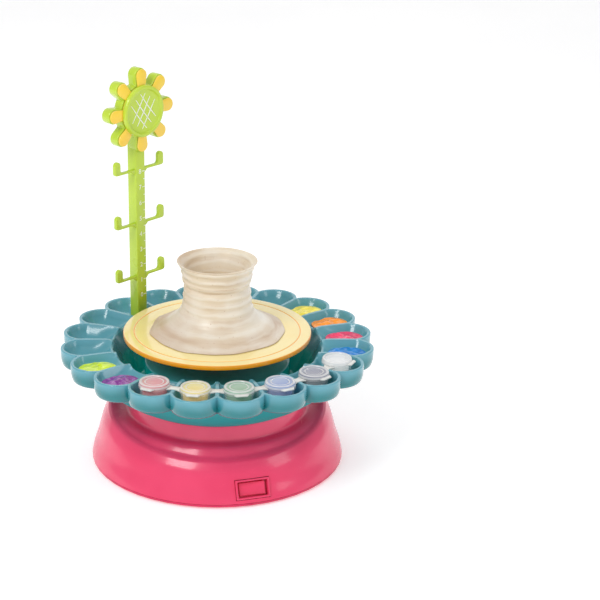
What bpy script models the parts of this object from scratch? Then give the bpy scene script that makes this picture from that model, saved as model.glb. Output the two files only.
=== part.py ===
"""Children's electric pottery wheel: flower-shaped paint tray, turntable, clay pot, ruler post and base.

Frame: metres, +Z up. The origin is on the wheel's axis at the level that the rubber feet stand on.
Azimuths are in degrees from the front (-Y), positive towards the right (+X).
"""
import math

import bmesh
import bpy
from mathutils import Matrix, Vector

# ---------------------------------------------------------------- driving dimensions (metres)
GAP = 0.0003                # clearance between pieces that touch
RUNNING = 0.00015           # radial clearance of a shaft in its bearing

BASE_R = 0.0773             # bottom edge of the pink housing
BASE_WALL = 0.0022
SHOULDER = 0.0127           # how far the housing's side slopes out
CREST_R = BASE_R - SHOULDER
PEDESTAL_R = 0.0544
PEDESTAL_TOP = 0.0430
LEDGE_Z = 0.0324            # trough round the pedestal
CREST_Z = 0.0345            # its height at the sides
CREST_TILT = 0.0085         # it is this much lower at the front and higher at the back
BASE_STEPS = 48

FOOT_R = 0.0055
FOOT_RING_R = BASE_R - 0.0138
FOOT_H = 0.0010             # how far the feet stand below the cover
FOOT_AZ = (62.0, 118.0, -118.0, -62.0)
COVER_R = BASE_R
COVER_T = 0.0016
LIP_T = 0.0016              # ring on the cover that centres the housing
LIP_H = 0.0020
LIP_PLAY = 0.0014
SCREW_AZ = (40.0, 140.0, -140.0, -40.0)
SCREW_RING_R = COVER_R - 0.0125
SCREW_POST_R = 0.0034
TOWER_R = 0.0048
TOWER_TOP = 0.0083
SCREW_SHANK_R = 0.0010
SCREW_HOLE_R = 0.0016
SCREW_HEAD_TOP = 0.0060     # height of the cover screws' seat

TABLE_R = 0.0570
TABLE_TOP = 0.0820
TABLE_T = 0.0030
SPINDLE_R = 0.0040
SPINDLE_HOLE_R = 0.0083
HUB_R = 0.0068
HUB_FLANGE_R = 0.0300

CUP_R = 0.0087
CUP_WALL = 0.0010
CUP_TAPER = 0.0006
CUP_LIP = 0.0004
CUP_AZ = (-27.0, -9.0, 9.0, 27.0, 45.0, 63.0)

PETALS = 20
BASIN_RIM_R = TABLE_R + 0.0057
BASIN_RIM_Z = 0.0730
BASIN_FLOOR_R = BASIN_RIM_R - 0.0127
BASIN_FLOOR_Z = 0.0460
BOSS_R = BASIN_FLOOR_R - 0.0057
BOSS_TOP = 0.0635
PETAL_ROOT_R = BASIN_RIM_R + 0.0178             # centre of each petal's round end
PETAL_OVERLAP = 1.15143                         # how far neighbouring round ends reach into each other
PETAL_RHO = PETAL_OVERLAP * PETAL_ROOT_R * math.sin(math.pi / PETALS)
TRAY_RIM_Z = 0.0758
TRAY_UNDER_Z = 0.0642
TRAY_WALL = 0.0022
WELL_R = BASIN_RIM_R + 0.0163                   # middle of each paint well
WELL_FLOOR_Z = 0.0670
WELL_IN_R = WELL_R - CUP_R - 0.0001
WELL_OUT_R = WELL_R + CUP_R + 0.0003
WELL_HALF_DEG = math.degrees(math.asin(CUP_R / WELL_R))
RIDGE_SHARE = 0.59                              # of the way from the well's side to the next petal
RIDGE_DEG = WELL_HALF_DEG + RIDGE_SHARE * (180.0 / PETALS - WELL_HALF_DEG)

SKIRT_TOP_R = BASIN_RIM_R + 0.0193
SKIRT_LOW_R = BASIN_FLOOR_R + 0.0070

POT_H = 0.0440
POT_RIM_R = 0.0241
POT_NECK_R = 0.0208
POT_FOOT_R = 0.0415
POT_WALL = 0.0038

POST_AZ = -135.0
POST_RING_R = BASIN_RIM_R + 0.0073
POST_W = 0.0075
POST_FOOT_Z = WELL_FLOOR_Z + GAP
FLOWER_Z = 0.2055
POST_TOP = FLOWER_Z - 0.0125
PLUG_W = 0.0052
PLUG_LEN = 0.0060
HOOK_Z = (0.0995, 0.1340, 0.1683)
HOOK_REACH = 0.0177         # post axis to the middle of the upturned end
HOOK_T = 0.0024
PADDLE_W = 0.0046
PADDLE_H = 0.0078

FLOWER_LOBES = 8
FLOWER_TIP_R = 0.0260
FLOWER_BODY_R = 0.0163
FLOWER_T = 0.0066
FLOWER_SKIN = 0.0012        # plastic between the post and the flower's face
RING_R = 0.0160
RING_T = 0.0022
DISH_R = RING_R - 0.0028

CUP_FOOT_Z = WELL_FLOOR_Z + 0.0006
CUP_TOP_Z = TRAY_RIM_Z + 0.0004
LID_R = CUP_R + CUP_LIP
LID_T = 0.0024
PAINT_H = 0.0016

MODULE = 0.0008
OUTPUT_TEETH = 50
COMPOUND_SMALL = 12
COMPOUND_LARGE = 36
PINION_TEETH = 10
MESH_SLACK = 0.00012        # added to each pair's centre distance
GEARS_Z = 0.0294            # underside of the first gear pair
GEAR_T = 0.0030
PLATE_Z = 0.0260
PLATE_T = 0.0020
PLATE_R = 0.0450
PLATE_POST_R = 0.0380
PLATE_POST_AZ = (110.0, -110.0, -55.0)
PLATE_SCREW_R = 0.0008
PINION_DIRECTION = 60.0     # azimuth of the motor seen from the compound gear
AXLE_R = 0.0015
SHAFT_R = 0.0010
MOTOR_R = 0.0100
MOTOR_LEN = 0.0210
MOTOR_EDGE = 0.0005
MOTOR_CAP_R = 0.0030
MOTOR_CAP_H = 0.0012
BUSH_R = 0.0062
BUSH_RISE = 0.0140
BUSH_FLANGE = 0.0022
BUSH_FLANGE_T = 0.0014

CELL_R = 0.0071
CELL_LEN = 0.0500
CELL_PITCH = 2 * CELL_R + 0.0005
CELL_NUB_R = 0.0026
CELL_NUB_H = 0.0010
CONTACT_T = 0.0005
BAY_Y = (-0.0030, 0.0530)
BAY_WALL = 0.0016
BAY_HEADROOM = 0.0016
BAY_PLAY = 0.0004
DOOR_LATCH = (0.0050, 0.0014, 0.0038)           # half width, thickness and top above the cover's underside

SWITCH_AZ = 16.3
SWITCH_W = 0.0205
SWITCH_H = 0.0116
SWITCH_D = 0.0055
SWITCH_Z = 0.0106
SWITCH_TILT = 5.0           # the rocker stands this many degrees to either side
SWITCH_PROUD = 0.0004       # how far its frame stands out of the wall
SWITCH_FRAME = 0.0016
ROCKER_MARGIN = 0.0025      # between the frame's outside and the rocker's end

# ---------------------------------------------------------------- colours
PINK = (0.83, 0.09, 0.17)
MAGENTA = (0.68, 0.0, 0.10)
TEAL = (0.09, 0.38, 0.42)
CREAM = (1.0, 0.83, 0.42)
ORANGE = (1.0, 0.28, 0.02)
LIME = (0.46, 0.68, 0.05)
GOLD = (1.0, 0.60, 0.06)
CLAY = (0.68, 0.54, 0.40)
CLEAR = (0.85, 0.86, 0.88)
STEEL = (0.55, 0.56, 0.58)
BLACK = (0.02, 0.02, 0.02)
WHITE = (0.80, 0.80, 0.78)


def clear_scene():
    for old in list(bpy.data.objects):
        bpy.data.objects.remove(old)


def finish(name, mesh, color, roughness=0.3, metallic=0.0):
    """An object with its own material, shaded smooth where it is round."""
    mesh.name = name
    obj = bpy.data.objects.new(name, mesh)
    bpy.context.scene.collection.objects.link(obj)
    material = bpy.data.materials.new(name)
    material.use_nodes = True
    shader = material.node_tree.nodes["Principled BSDF"]
    shader.inputs["Base Color"].default_value = (*color, 1.0)
    shader.inputs["Roughness"].default_value = roughness
    shader.inputs["Metallic"].default_value = metallic
    mesh.materials.append(material)
    mesh.shade_smooth()
    mesh.set_sharp_from_angle(angle=math.radians(35))
    return obj


def mesh_from(points, faces):
    mesh = bpy.data.meshes.new("mesh")
    mesh.from_pydata(points, [], faces)
    mesh.update()
    return mesh


def polar(azimuth, radius, z=0.0):
    """The point at an azimuth from the front, a radius and a height."""
    a = math.radians(azimuth)
    return Vector((radius * math.sin(a), -radius * math.cos(a), z))


def join_rings(rings, closed=True):
    """A mesh through rings of points; neighbouring rings have equal counts, or one a multiple of the other.

    Rings run anticlockwise seen from above. closed joins the last ring to the first; otherwise both ends
    are a single point on the axis.
    """
    points = []
    starts = []
    for ring in rings:
        starts.append(len(points))
        points.extend(ring)
    faces = []
    pairs = list(zip(range(len(rings)), range(1, len(rings))))
    if closed:
        pairs.append((len(rings) - 1, 0))
    for low, high in pairs:
        a, b = len(rings[low]), len(rings[high])
        coarse, fine = min(a, b), max(a, b)
        share = fine // coarse
        for i in range(coarse):
            one, two = (i, (i + 1) % coarse)
            many = [(i * share + k) % fine for k in range(share + 1)]
            middle = share // 2
            if a <= b:
                left = [starts[low] + one, starts[low] + two]
                right = [starts[high] + k for k in many]
                fan(faces, left, right, middle, False, a == 1)
            else:
                left = [starts[high] + one, starts[high] + two]
                right = [starts[low] + k for k in many]
                fan(faces, left, right, middle, True, b == 1)
    return mesh_from(points, faces)


def fan(faces, left, right, middle, flip, pole):
    """Faces between one coarse edge and the run of fine edges opposite it."""
    if pole:
        made = [(left[0], right[k], right[k + 1]) for k in range(len(right) - 1)]
    elif len(right) == 2:
        made = [(left[0], right[0], right[1], left[1])]
    else:
        made = [(left[0], right[k], right[k + 1]) for k in range(middle)]
        made.append((left[0], right[middle], left[1]))
        made += [(left[1], right[k], right[k + 1]) for k in range(middle, len(right) - 1)]
    faces.extend(tuple(reversed(f)) if flip else f for f in made)


def ring(radius, z, steps, centre=(0.0, 0.0)):
    if radius == 0.0:
        return [Vector((centre[0], centre[1], z))]
    shift = Vector((centre[0], centre[1], 0.0))
    return [polar(360.0 * i / steps, radius, z) + shift for i in range(steps)]


def lathe(name, profile, color, steps=32, centre=(0.0, 0.0), **look):
    """A turned piece. The profile runs (radius, z) outwards over the top and back underneath.

    A profile that starts and ends at radius 0 closes on the axis; any other is a ring.
    """
    rings = [ring(r, z, steps, centre) for r, z in profile]
    closed = profile[0][0] > 0.0
    return finish(name, join_rings(rings, closed), color, **look)


def cylinder(name, radius, low, high, color, steps=24, centre=(0.0, 0.0), **look):
    profile = [(0.0, high), (radius, high), (radius, low), (0.0, low)]
    return lathe(name, profile, color, steps, centre, **look)


def sleeve(name, bore, radius, low, high, color, steps=24, centre=(0.0, 0.0), **look):
    profile = [(bore, high), (radius, high), (radius, low), (bore, low)]
    return lathe(name, profile, color, steps, centre, **look)


def box(name, low, high, color, matrix=None, **look):
    bm = bmesh.new()
    bmesh.ops.create_cube(bm, size=1.0)
    low, high = Vector(low), Vector(high)
    size = high - low
    bmesh.ops.scale(bm, vec=size, verts=bm.verts)
    bmesh.ops.translate(bm, vec=(low + high) / 2, verts=bm.verts)
    if matrix is not None:
        bmesh.ops.transform(bm, matrix=matrix, verts=bm.verts)
    mesh = bpy.data.meshes.new(name)
    bm.to_mesh(mesh)
    bm.free()
    return finish(name, mesh, color, **look)


def prism(name, outline, low, high, color, matrix=None, **look):
    """An outline (anticlockwise, in x and y) extruded from low to high in z."""
    bm = bmesh.new()
    bottom = [bm.verts.new((x, y, low)) for x, y in outline]
    face = bm.faces.new(list(reversed(bottom)))
    grown = bmesh.ops.extrude_face_region(bm, geom=[face], use_keep_orig=True)
    top = [g for g in grown["geom"] if isinstance(g, bmesh.types.BMVert)]
    bmesh.ops.translate(bm, vec=(0.0, 0.0, high - low), verts=top)
    bmesh.ops.recalc_face_normals(bm, faces=bm.faces)
    if matrix is not None:
        bmesh.ops.transform(bm, matrix=matrix, verts=bm.verts)
    mesh = bpy.data.meshes.new(name)
    bm.to_mesh(mesh)
    bm.free()
    return finish(name, mesh, color, **look)


def tool(obj):
    """Marks a cutter, or a piece that a union has taken in."""
    obj.hide_render = True
    obj.display_type = "WIRE"
    return obj


def boolean(target, other, operation):
    modifier = target.modifiers.new(operation.lower(), "BOOLEAN")
    modifier.operation = operation
    modifier.object = tool(other)


def hinge_at(obj, pivot):
    """Moves the object's origin to its joint's axis and leaves its shape where it is."""
    obj.data.transform(Matrix.Translation(-Vector(pivot)))
    obj.location = pivot


def on_axis(name, place, pieces):
    """An empty on a joint's axis that holds the pieces which turn about it."""
    empty = bpy.data.objects.new(name, None)
    empty.location = place
    bpy.context.scene.collection.objects.link(empty)
    for piece in pieces:
        piece.parent = empty
        piece.location = -Vector(place)
    return empty


# ---------------------------------------------------------------- base
def crest_height(azimuth):
    return CREST_Z - CREST_TILT * math.cos(math.radians(azimuth))


def base_profile(azimuth):
    """Outer then inner surface of the pink housing at one azimuth."""
    crest = crest_height(azimuth)
    rise = crest - LEDGE_Z
    wall = BASE_WALL
    span = BASE_R - CREST_R
    bottom = FOOT_H + COVER_T + GAP
    hole = SPINDLE_HOLE_R
    outer = [
        (hole, PEDESTAL_TOP),
        (PEDESTAL_R - 0.0011, PEDESTAL_TOP),
        (PEDESTAL_R - 0.0002, PEDESTAL_TOP - 0.0009),
        (PEDESTAL_R, LEDGE_Z + 0.0012),
        (PEDESTAL_R + 0.0018, LEDGE_Z),
        (PEDESTAL_R + 0.0058, LEDGE_Z + 0.12 * rise),
        (CREST_R - 0.0018, LEDGE_Z + 0.80 * rise),
        (CREST_R, crest),
        (CREST_R + 0.17 * span, crest - 0.0009),
        (CREST_R + 0.42 * span, 0.80 * crest),
        (CREST_R + 0.57 * span, 0.63 * crest),
        (CREST_R + 0.72 * span, 0.43 * crest),
        (CREST_R + 0.90 * span, 0.24 * crest),
        (BASE_R, bottom),
    ]
    inner = [
        (BASE_R - wall, bottom),
        (CREST_R + 0.90 * span - wall, 0.24 * crest - 0.0004),
        (CREST_R + 0.40 * span - wall, 0.74 * crest - 0.0006),
        (CREST_R + 0.10 * span - wall, crest - 1.35 * wall),
        (PEDESTAL_R + 0.0044, LEDGE_Z + 0.06 * rise - 1.1 * wall),
        (PEDESTAL_R + 0.0008, LEDGE_Z - wall),
        (PEDESTAL_R - wall, LEDGE_Z - wall),
        (PEDESTAL_R - wall, PEDESTAL_TOP - wall),
        (hole, PEDESTAL_TOP - wall),
    ]
    return outer + inner


def screw_places():
    return [polar(az, SCREW_RING_R) for az in SCREW_AZ]


def foot_places():
    return [polar(az, FOOT_RING_R) for az in FOOT_AZ]


def plate_posts():
    return [polar(az, PLATE_POST_R) for az in PLATE_POST_AZ]


def wall_radius(azimuth, z):
    """Radius of the housing's outer wall at a height below the shoulder."""
    wall = base_profile(azimuth)[8:14]
    for (high_r, high_z), (low_r, low_z) in zip(wall, wall[1:]):
        if z >= low_z:
            return low_r + (high_r - low_r) * (z - low_z) / (high_z - low_z)
    return BASE_R


def switch_lean():
    """Angle of the wall's chord behind the switch, in degrees from upright."""
    low, high = SWITCH_Z - SWITCH_H / 2, SWITCH_Z + SWITCH_H / 2
    return math.degrees(math.atan2(wall_radius(SWITCH_AZ, low) - wall_radius(SWITCH_AZ, high), high - low))


def switch_matrix():
    """The switch's frame: x along the wall, y inwards, z up the lean."""
    place = Matrix.Translation(polar(SWITCH_AZ, wall_radius(SWITCH_AZ, SWITCH_Z) + SWITCH_PROUD, SWITCH_Z))
    turn = Matrix.Rotation(math.radians(SWITCH_AZ), 4, "Z")
    return place @ turn @ Matrix.Rotation(math.radians(-switch_lean()), 4, "X")


def build_base_shell():
    rows = list(zip(*[base_profile(360.0 * i / BASE_STEPS) for i in range(BASE_STEPS)]))
    rings = [[polar(360.0 * i / BASE_STEPS, r, z) for i, (r, z) in enumerate(row)] for row in rows]
    shell = finish("base_shell", join_rings(rings), PINK, roughness=0.18)
    for index, p in enumerate(plate_posts()):
        post = sleeve(f"tool_plate_post_{index}", PLATE_SCREW_R + GAP, SCREW_POST_R, PLATE_Z + PLATE_T + GAP,
                      PEDESTAL_TOP - BASE_WALL / 2, PINK, 12, p[:2])
        boolean(shell, post, "UNION")
    for index, p in enumerate(screw_places()):
        top = screw_post_top(p)
        post = sleeve(f"tool_cover_post_{index}", SCREW_HOLE_R, SCREW_POST_R, TOWER_TOP + GAP, top, PINK, 12, p[:2])
        boolean(shell, post, "UNION")
    half = SWITCH_W / 2 + GAP
    window = box("tool_switch_window", (-half, -0.0100, -SWITCH_H / 2 - GAP),
                 (half, SWITCH_D + GAP, SWITCH_H / 2 + GAP), PINK, switch_matrix())
    boolean(shell, window, "DIFFERENCE")
    return shell


def screw_post_top(place):
    """A height inside the housing's shoulder above a cover screw."""
    azimuth = math.degrees(math.atan2(place.x, -place.y))
    return 0.80 * crest_height(azimuth)


def build_bottom_cover():
    low, top = FOOT_H, FOOT_H + COVER_T
    lip_r = BASE_R - BASE_WALL - LIP_PLAY
    profile = [(0.0, top), (lip_r - LIP_T, top), (lip_r - LIP_T, top + LIP_H), (lip_r, top + LIP_H),
               (lip_r, top),
               (COVER_R, top), (COVER_R, low + 0.0004), (COVER_R - 0.0004, low), (0.0, low)]
    cover = lathe("bottom_cover", profile, MAGENTA, BASE_STEPS, roughness=0.35)
    bay_x = 2 * CELL_PITCH + BAY_PLAY
    ceiling = top + 2 * CELL_R + BAY_HEADROOM
    outer = box("tool_bay_outer", (-bay_x - BAY_WALL, BAY_Y[0] - BAY_WALL, low + 0.0004),
                (bay_x + BAY_WALL, BAY_Y[1] + BAY_WALL, ceiling + BAY_WALL), MAGENTA)
    boolean(cover, outer, "UNION")
    inner = box("tool_bay_inner", (-bay_x, BAY_Y[0], low - 0.001), (bay_x, BAY_Y[1], ceiling), MAGENTA)
    for index, p in enumerate(screw_places()):
        tower = cylinder(f"tool_tower_{index}", TOWER_R, low + 0.0004, TOWER_TOP, MAGENTA, 12, p[:2])
        boolean(cover, tower, "UNION")
    boolean(cover, inner, "DIFFERENCE")
    for index, p in enumerate(screw_places()):
        seat = SCREW_HEAD_TOP + GAP
        well = cylinder(f"tool_screw_well_{index}", SCREW_POST_R - GAP, low - 0.001, seat, MAGENTA, 12, p[:2])
        boolean(cover, well, "DIFFERENCE")
        hole = cylinder(f"tool_screw_hole_{index}", SCREW_HOLE_R, low, TOWER_TOP + 0.0017, MAGENTA, 8, p[:2])
        boolean(cover, hole, "DIFFERENCE")
    half = SWITCH_W / 2 + 0.0010
    inside = Matrix.Translation(polar(SWITCH_AZ, BASE_R - BASE_WALL)) @ Matrix.Rotation(math.radians(SWITCH_AZ), 4, "Z")
    notch = box("tool_lip_notch", (-half, -0.0010, top), (half, 0.0100, top + 0.0050), MAGENTA, inside)
    boolean(cover, notch, "DIFFERENCE")
    for index, p in enumerate(foot_places()):
        seat = cylinder(f"tool_foot_seat_{index}", FOOT_R + GAP, low - 0.001, low + 0.0007, MAGENTA, 16, p[:2])
        boolean(cover, seat, "DIFFERENCE")
    return cover


def build_feet_and_screws():
    for index, p in enumerate(foot_places()):
        profile = [(0.0, FOOT_H + 0.0004), (FOOT_R, FOOT_H + 0.0004), (FOOT_R, 0.0005), (FOOT_R - 0.0005, 0.0),
                   (0.0, 0.0)]
        lathe(f"rubber_foot_{index + 1}", profile, BLACK, 16, p[:2], roughness=0.8)
    for index, p in enumerate(screw_places()):
        screw(f"cover_screw_{index + 1}", p, SCREW_HEAD_TOP, SCREW_SHANK_R, 0.0120)


def screw(name, place, head_top, shank_r, length):
    """A pan-head screw whose shank points up from its head."""
    head_r = 2.2 * shank_r
    head_h = 1.6 * shank_r
    tip = head_top + length
    profile = [(0.0, tip), (shank_r, tip - 0.0006), (shank_r, head_top), (head_r, head_top),
               (head_r, head_top - head_h), (0.0, head_top - head_h)]
    return lathe(name, profile, STEEL, 12, place[:2], roughness=0.35, metallic=1.0)


# ---------------------------------------------------------------- battery bay
def build_batteries():
    floor = FOOT_H + COVER_T + 0.0008
    middle = (BAY_Y[0] + BAY_Y[1]) / 2
    for index in range(4):
        x = (index - 1.5) * CELL_PITCH
        flip = -1.0 if index % 2 else 1.0
        end = CELL_LEN / 2
        profile = [(0.0, end + CELL_NUB_H), (CELL_NUB_R, end + CELL_NUB_H), (CELL_NUB_R, end),
                   (CELL_R - 0.0006, end), (CELL_R, end - 0.0006), (CELL_R, -end), (0.0, -end)]
        cell = lathe(f"battery_{index + 1}", profile, BLACK, 14, roughness=0.4)
        turn = Matrix.Rotation(math.radians(90.0 * flip), 4, "X")
        cell.data.transform(Matrix.Translation((x, middle, floor + CELL_R)) @ turn)
    for name, y, side in (("contact_plate_front", BAY_Y[0], 1.0), ("contact_plate_back", BAY_Y[1], -1.0)):
        near, far = sorted((y + side * GAP, y + side * (GAP + CONTACT_T)))
        half = 2 * CELL_PITCH - 0.0008
        box(name, (-half, near, floor + 0.0010), (half, far, floor + 2 * CELL_R - 0.0010), STEEL,
            roughness=0.3, metallic=1.0)


def build_battery_door():
    low = FOOT_H
    bay_x = 2 * CELL_PITCH + BAY_PLAY - GAP
    door_top = low + COVER_T - GAP
    door = box("battery_door", (-bay_x, BAY_Y[0] + GAP, low), (bay_x, BAY_Y[1] - GAP, door_top), MAGENTA,
               roughness=0.35)
    half, thick, top = DOOR_LATCH
    near = BAY_Y[0] + 0.0012
    latch = box("tool_door_latch", (-half, near, low + 0.0006), (half, near + thick, low + top), MAGENTA)
    boolean(door, latch, "UNION")
    hinge_at(door, (0.0, BAY_Y[1] - GAP, low))


# ---------------------------------------------------------------- drive
def compound_centre():
    distance = MODULE * (OUTPUT_TEETH + COMPOUND_SMALL) / 2 + MESH_SLACK
    return Vector((0.0, -distance, 0.0))


def pinion_centre():
    distance = MODULE * (COMPOUND_LARGE + PINION_TEETH) / 2 + MESH_SLACK
    return compound_centre() + polar(PINION_DIRECTION, distance)


def gear_outline(teeth, centre, tooth_azimuth):
    """Straight-sided teeth, one of them centred on tooth_azimuth."""
    pitch_r = MODULE * teeth / 2
    root, tip = pitch_r - 1.0 * MODULE, pitch_r + 0.68 * MODULE
    step = 360.0 / teeth
    points = []
    for i in range(teeth):
        middle = tooth_azimuth + i * step
        for share, radius in ((-0.30, root), (-0.11, tip), (0.11, tip), (0.30, root)):
            points.append((centre + polar(middle + share * step, radius)).xy)
    return points


def gear(name, teeth, low, high, centre, tooth_azimuth):
    return prism(name, gear_outline(teeth, centre, tooth_azimuth), low, high, WHITE, roughness=0.4)


def bore_out(target, radius, low, high, centre, steps=16):
    """Cuts a round hole through a piece, along z."""
    margin = 0.001
    hole = cylinder(f"tool_{target.name}_bore", radius, low - margin, high + margin, WHITE, steps, centre[:2])
    boolean(target, hole, "DIFFERENCE")


def build_drive():
    second_z = GEARS_Z + GEAR_T + 0.0010
    centre = compound_centre()
    pinion = pinion_centre()
    axis = Vector((0.0, 0.0, 0.0))
    output = gear("output_gear", OUTPUT_TEETH, second_z, second_z + GEAR_T, axis, 0.0)
    hub = cylinder("tool_output_hub", 0.0078, second_z + 0.0005, second_z + GEAR_T + 0.0020, WHITE, 20)
    boolean(output, hub, "UNION")
    bore_out(output, SPINDLE_R + GAP, second_z, second_z + GEAR_T + 0.0020, axis)
    large = gear("compound_gear", COMPOUND_LARGE, GEARS_Z, GEARS_Z + GEAR_T, centre, PINION_DIRECTION)
    small = gear("tool_compound_small", COMPOUND_SMALL, second_z - 0.0015, second_z + GEAR_T + 0.0004, centre,
                 180.0 + 180.0 / COMPOUND_SMALL)
    boolean(large, small, "UNION")
    bore_out(large, AXLE_R + 0.0002, GEARS_Z, second_z + GEAR_T + 0.0010, centre, 12)
    drive = gear("motor_pinion", PINION_TEETH, GEARS_Z - 0.0003, GEARS_Z + GEAR_T + 0.0006, pinion,
                 PINION_DIRECTION + 180.0 + 180.0 / PINION_TEETH)
    bore_out(drive, SHAFT_R + GAP, GEARS_Z, GEARS_Z + GEAR_T, pinion, 12)
    shaft = cylinder("motor_shaft", SHAFT_R, PLATE_Z - 0.0002, GEARS_Z + GEAR_T + 0.0012, STEEL, 12, pinion[:2],
                     roughness=0.25, metallic=1.0)
    sleeve_top = PEDESTAL_TOP - BASE_WALL - GAP
    cylinder("gear_axle", AXLE_R, PLATE_Z + PLATE_T + GAP, sleeve_top, STEEL, 16, centre[:2], roughness=0.25,
             metallic=1.0)
    cylinder("spindle", SPINDLE_R, PLATE_Z - 0.0004, TABLE_TOP - TABLE_T - GAP, STEEL, 20, roughness=0.25,
             metallic=1.0)
    on_axis("compound_axis", centre, [large])
    on_axis("pinion_axis", pinion, [drive, shaft])


def build_gearbox_plate():
    top = PLATE_Z + PLATE_T
    plate = cylinder("gearbox_plate", PLATE_R, PLATE_Z, top, WHITE, 24, roughness=0.5)
    boss = cylinder("tool_plate_boss", 0.0070, PLATE_Z - 0.0022, top - 0.0005, WHITE, 20)
    boolean(plate, boss, "UNION")
    seat = cylinder("tool_spindle_seat", SPINDLE_R + RUNNING, PLATE_Z - 0.0007, top + 0.002, WHITE, 24)
    boolean(plate, seat, "DIFFERENCE")
    pinion = pinion_centre()
    boolean(plate, cylinder("tool_shaft_hole", 0.0030, PLATE_Z - 0.002, top + 0.002, WHITE, 16, pinion[:2]),
            "DIFFERENCE")
    for index, p in enumerate(plate_posts()):
        hole = cylinder(f"tool_plate_hole_{index}", PLATE_SCREW_R + 0.0005, PLATE_Z - 0.002, top + 0.002, WHITE, 12,
                        p[:2])
        boolean(plate, hole, "DIFFERENCE")
        screw(f"plate_screw_{index + 1}", p, PLATE_Z - GAP, PLATE_SCREW_R, 0.0080)
    motor_top = PLATE_Z - GAP - 0.0003
    motor_low = motor_top - MOTOR_LEN
    cap_low = motor_low - MOTOR_CAP_H
    profile = [(0.0, motor_top), (MOTOR_R - MOTOR_EDGE, motor_top), (MOTOR_R, motor_top - MOTOR_EDGE),
               (MOTOR_R, motor_low + MOTOR_EDGE), (MOTOR_R - MOTOR_EDGE, motor_low), (MOTOR_CAP_R, motor_low),
               (MOTOR_CAP_R, cap_low), (0.0, cap_low)]
    lathe("motor", profile, STEEL, 20, pinion[:2], roughness=0.3, metallic=1.0)
    low = PEDESTAL_TOP - BASE_WALL - 0.0006
    bore, outer = SPINDLE_R + RUNNING, SPINDLE_HOLE_R - GAP
    flange = outer + BUSH_FLANGE
    seat_z = PEDESTAL_TOP + GAP
    flange_top = seat_z + BUSH_FLANGE_T
    bush = [(bore, PEDESTAL_TOP + BUSH_RISE), (BUSH_R, PEDESTAL_TOP + BUSH_RISE), (BUSH_R, flange_top),
            (flange, flange_top), (flange, seat_z), (outer, seat_z), (outer, low), (bore, low)]
    lathe("spindle_bush", bush, WHITE, 20, roughness=0.5)


# ---------------------------------------------------------------- switch
def build_switch():
    place = switch_matrix()
    half, tall = SWITCH_W / 2, SWITCH_H / 2
    bezel = box("switch_bezel", (-half, 0.0, -tall), (half, SWITCH_D, tall), PINK, place, roughness=0.2)
    hollow = box("tool_switch_hollow", (-half + SWITCH_FRAME, -0.0030, -tall + SWITCH_FRAME),
                 (half - SWITCH_FRAME, SWITCH_D - 0.0012, tall - SWITCH_FRAME), PINK, place)
    boolean(bezel, hollow, "DIFFERENCE")
    box("switch_housing", (-0.0060, SWITCH_D + GAP, -0.0030), (0.0060, SWITCH_D + 0.0070, 0.0035), BLACK, place,
        roughness=0.5)
    rocker_w, rocker_h = SWITCH_W - 2 * ROCKER_MARGIN, SWITCH_H - 0.0040
    outline = [(-rocker_w / 2, 0.0), (-rocker_w / 2, -0.0010), (0.0, -0.0004), (rocker_w / 2, -0.0010),
               (rocker_w / 2, 0.0), (0.0010, 0.0010), (-0.0010, 0.0010)]
    rocker = prism("switch_rocker", outline, -rocker_h / 2, rocker_h / 2, PINK, roughness=0.2)
    pivot = place @ Vector((0.0, SWITCH_D - 0.0026, 0.0))
    tilted = place.to_3x3().to_4x4() @ Matrix.Rotation(math.radians(-SWITCH_TILT), 4, "Z")
    rocker.data.transform(Matrix.Translation(pivot) @ tilted)
    hinge_at(rocker, pivot)


# ---------------------------------------------------------------- flower tray
def petal_radius(local):
    """Outer radius of a petal at an angle from its own middle."""
    a = math.radians(local)
    side = PETAL_ROOT_R * math.sin(a)
    return PETAL_ROOT_R * math.cos(a) + math.sqrt(PETAL_RHO ** 2 - side ** 2)


def tray_angles():
    """Angle from its petal's middle of each step round one petal."""
    return (-RIDGE_DEG, -WELL_HALF_DEG, 0.0, WELL_HALF_DEG, RIDGE_DEG, 180.0 / PETALS)


def tray_azimuths():
    return [360.0 * (p + 0.5) / PETALS + a for p in range(PETALS) for a in tray_angles()]


def tray_ring(rule):
    """A ring over all petals; rule gives (radius, z) from the angle within a petal."""
    points = []
    for p in range(PETALS):
        for a in tray_angles():
            radius, z = rule(a)
            points.append(polar(360.0 * (p + 0.5) / PETALS + a, radius, z))
    return points


def coarse_ring(radius, z):
    """A ring with two points a petal, at its side and its middle."""
    fine = tray_azimuths()
    return [polar(fine[i], radius, z) for i in range(0, len(fine), 3)]


def well_depth(local):
    return 1.0 if abs(local) <= WELL_HALF_DEG else (0.06 if abs(local) <= RIDGE_DEG else 0.0)


def rim_radius(local):
    """The scalloped edge between basin and petals."""
    return BASIN_RIM_R - 0.0009 * math.cos(math.radians(local * PETALS / 2))


def well_z(local):
    top = TRAY_RIM_Z - 0.0007
    return top + (WELL_FLOOR_Z - top) * well_depth(local)


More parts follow.
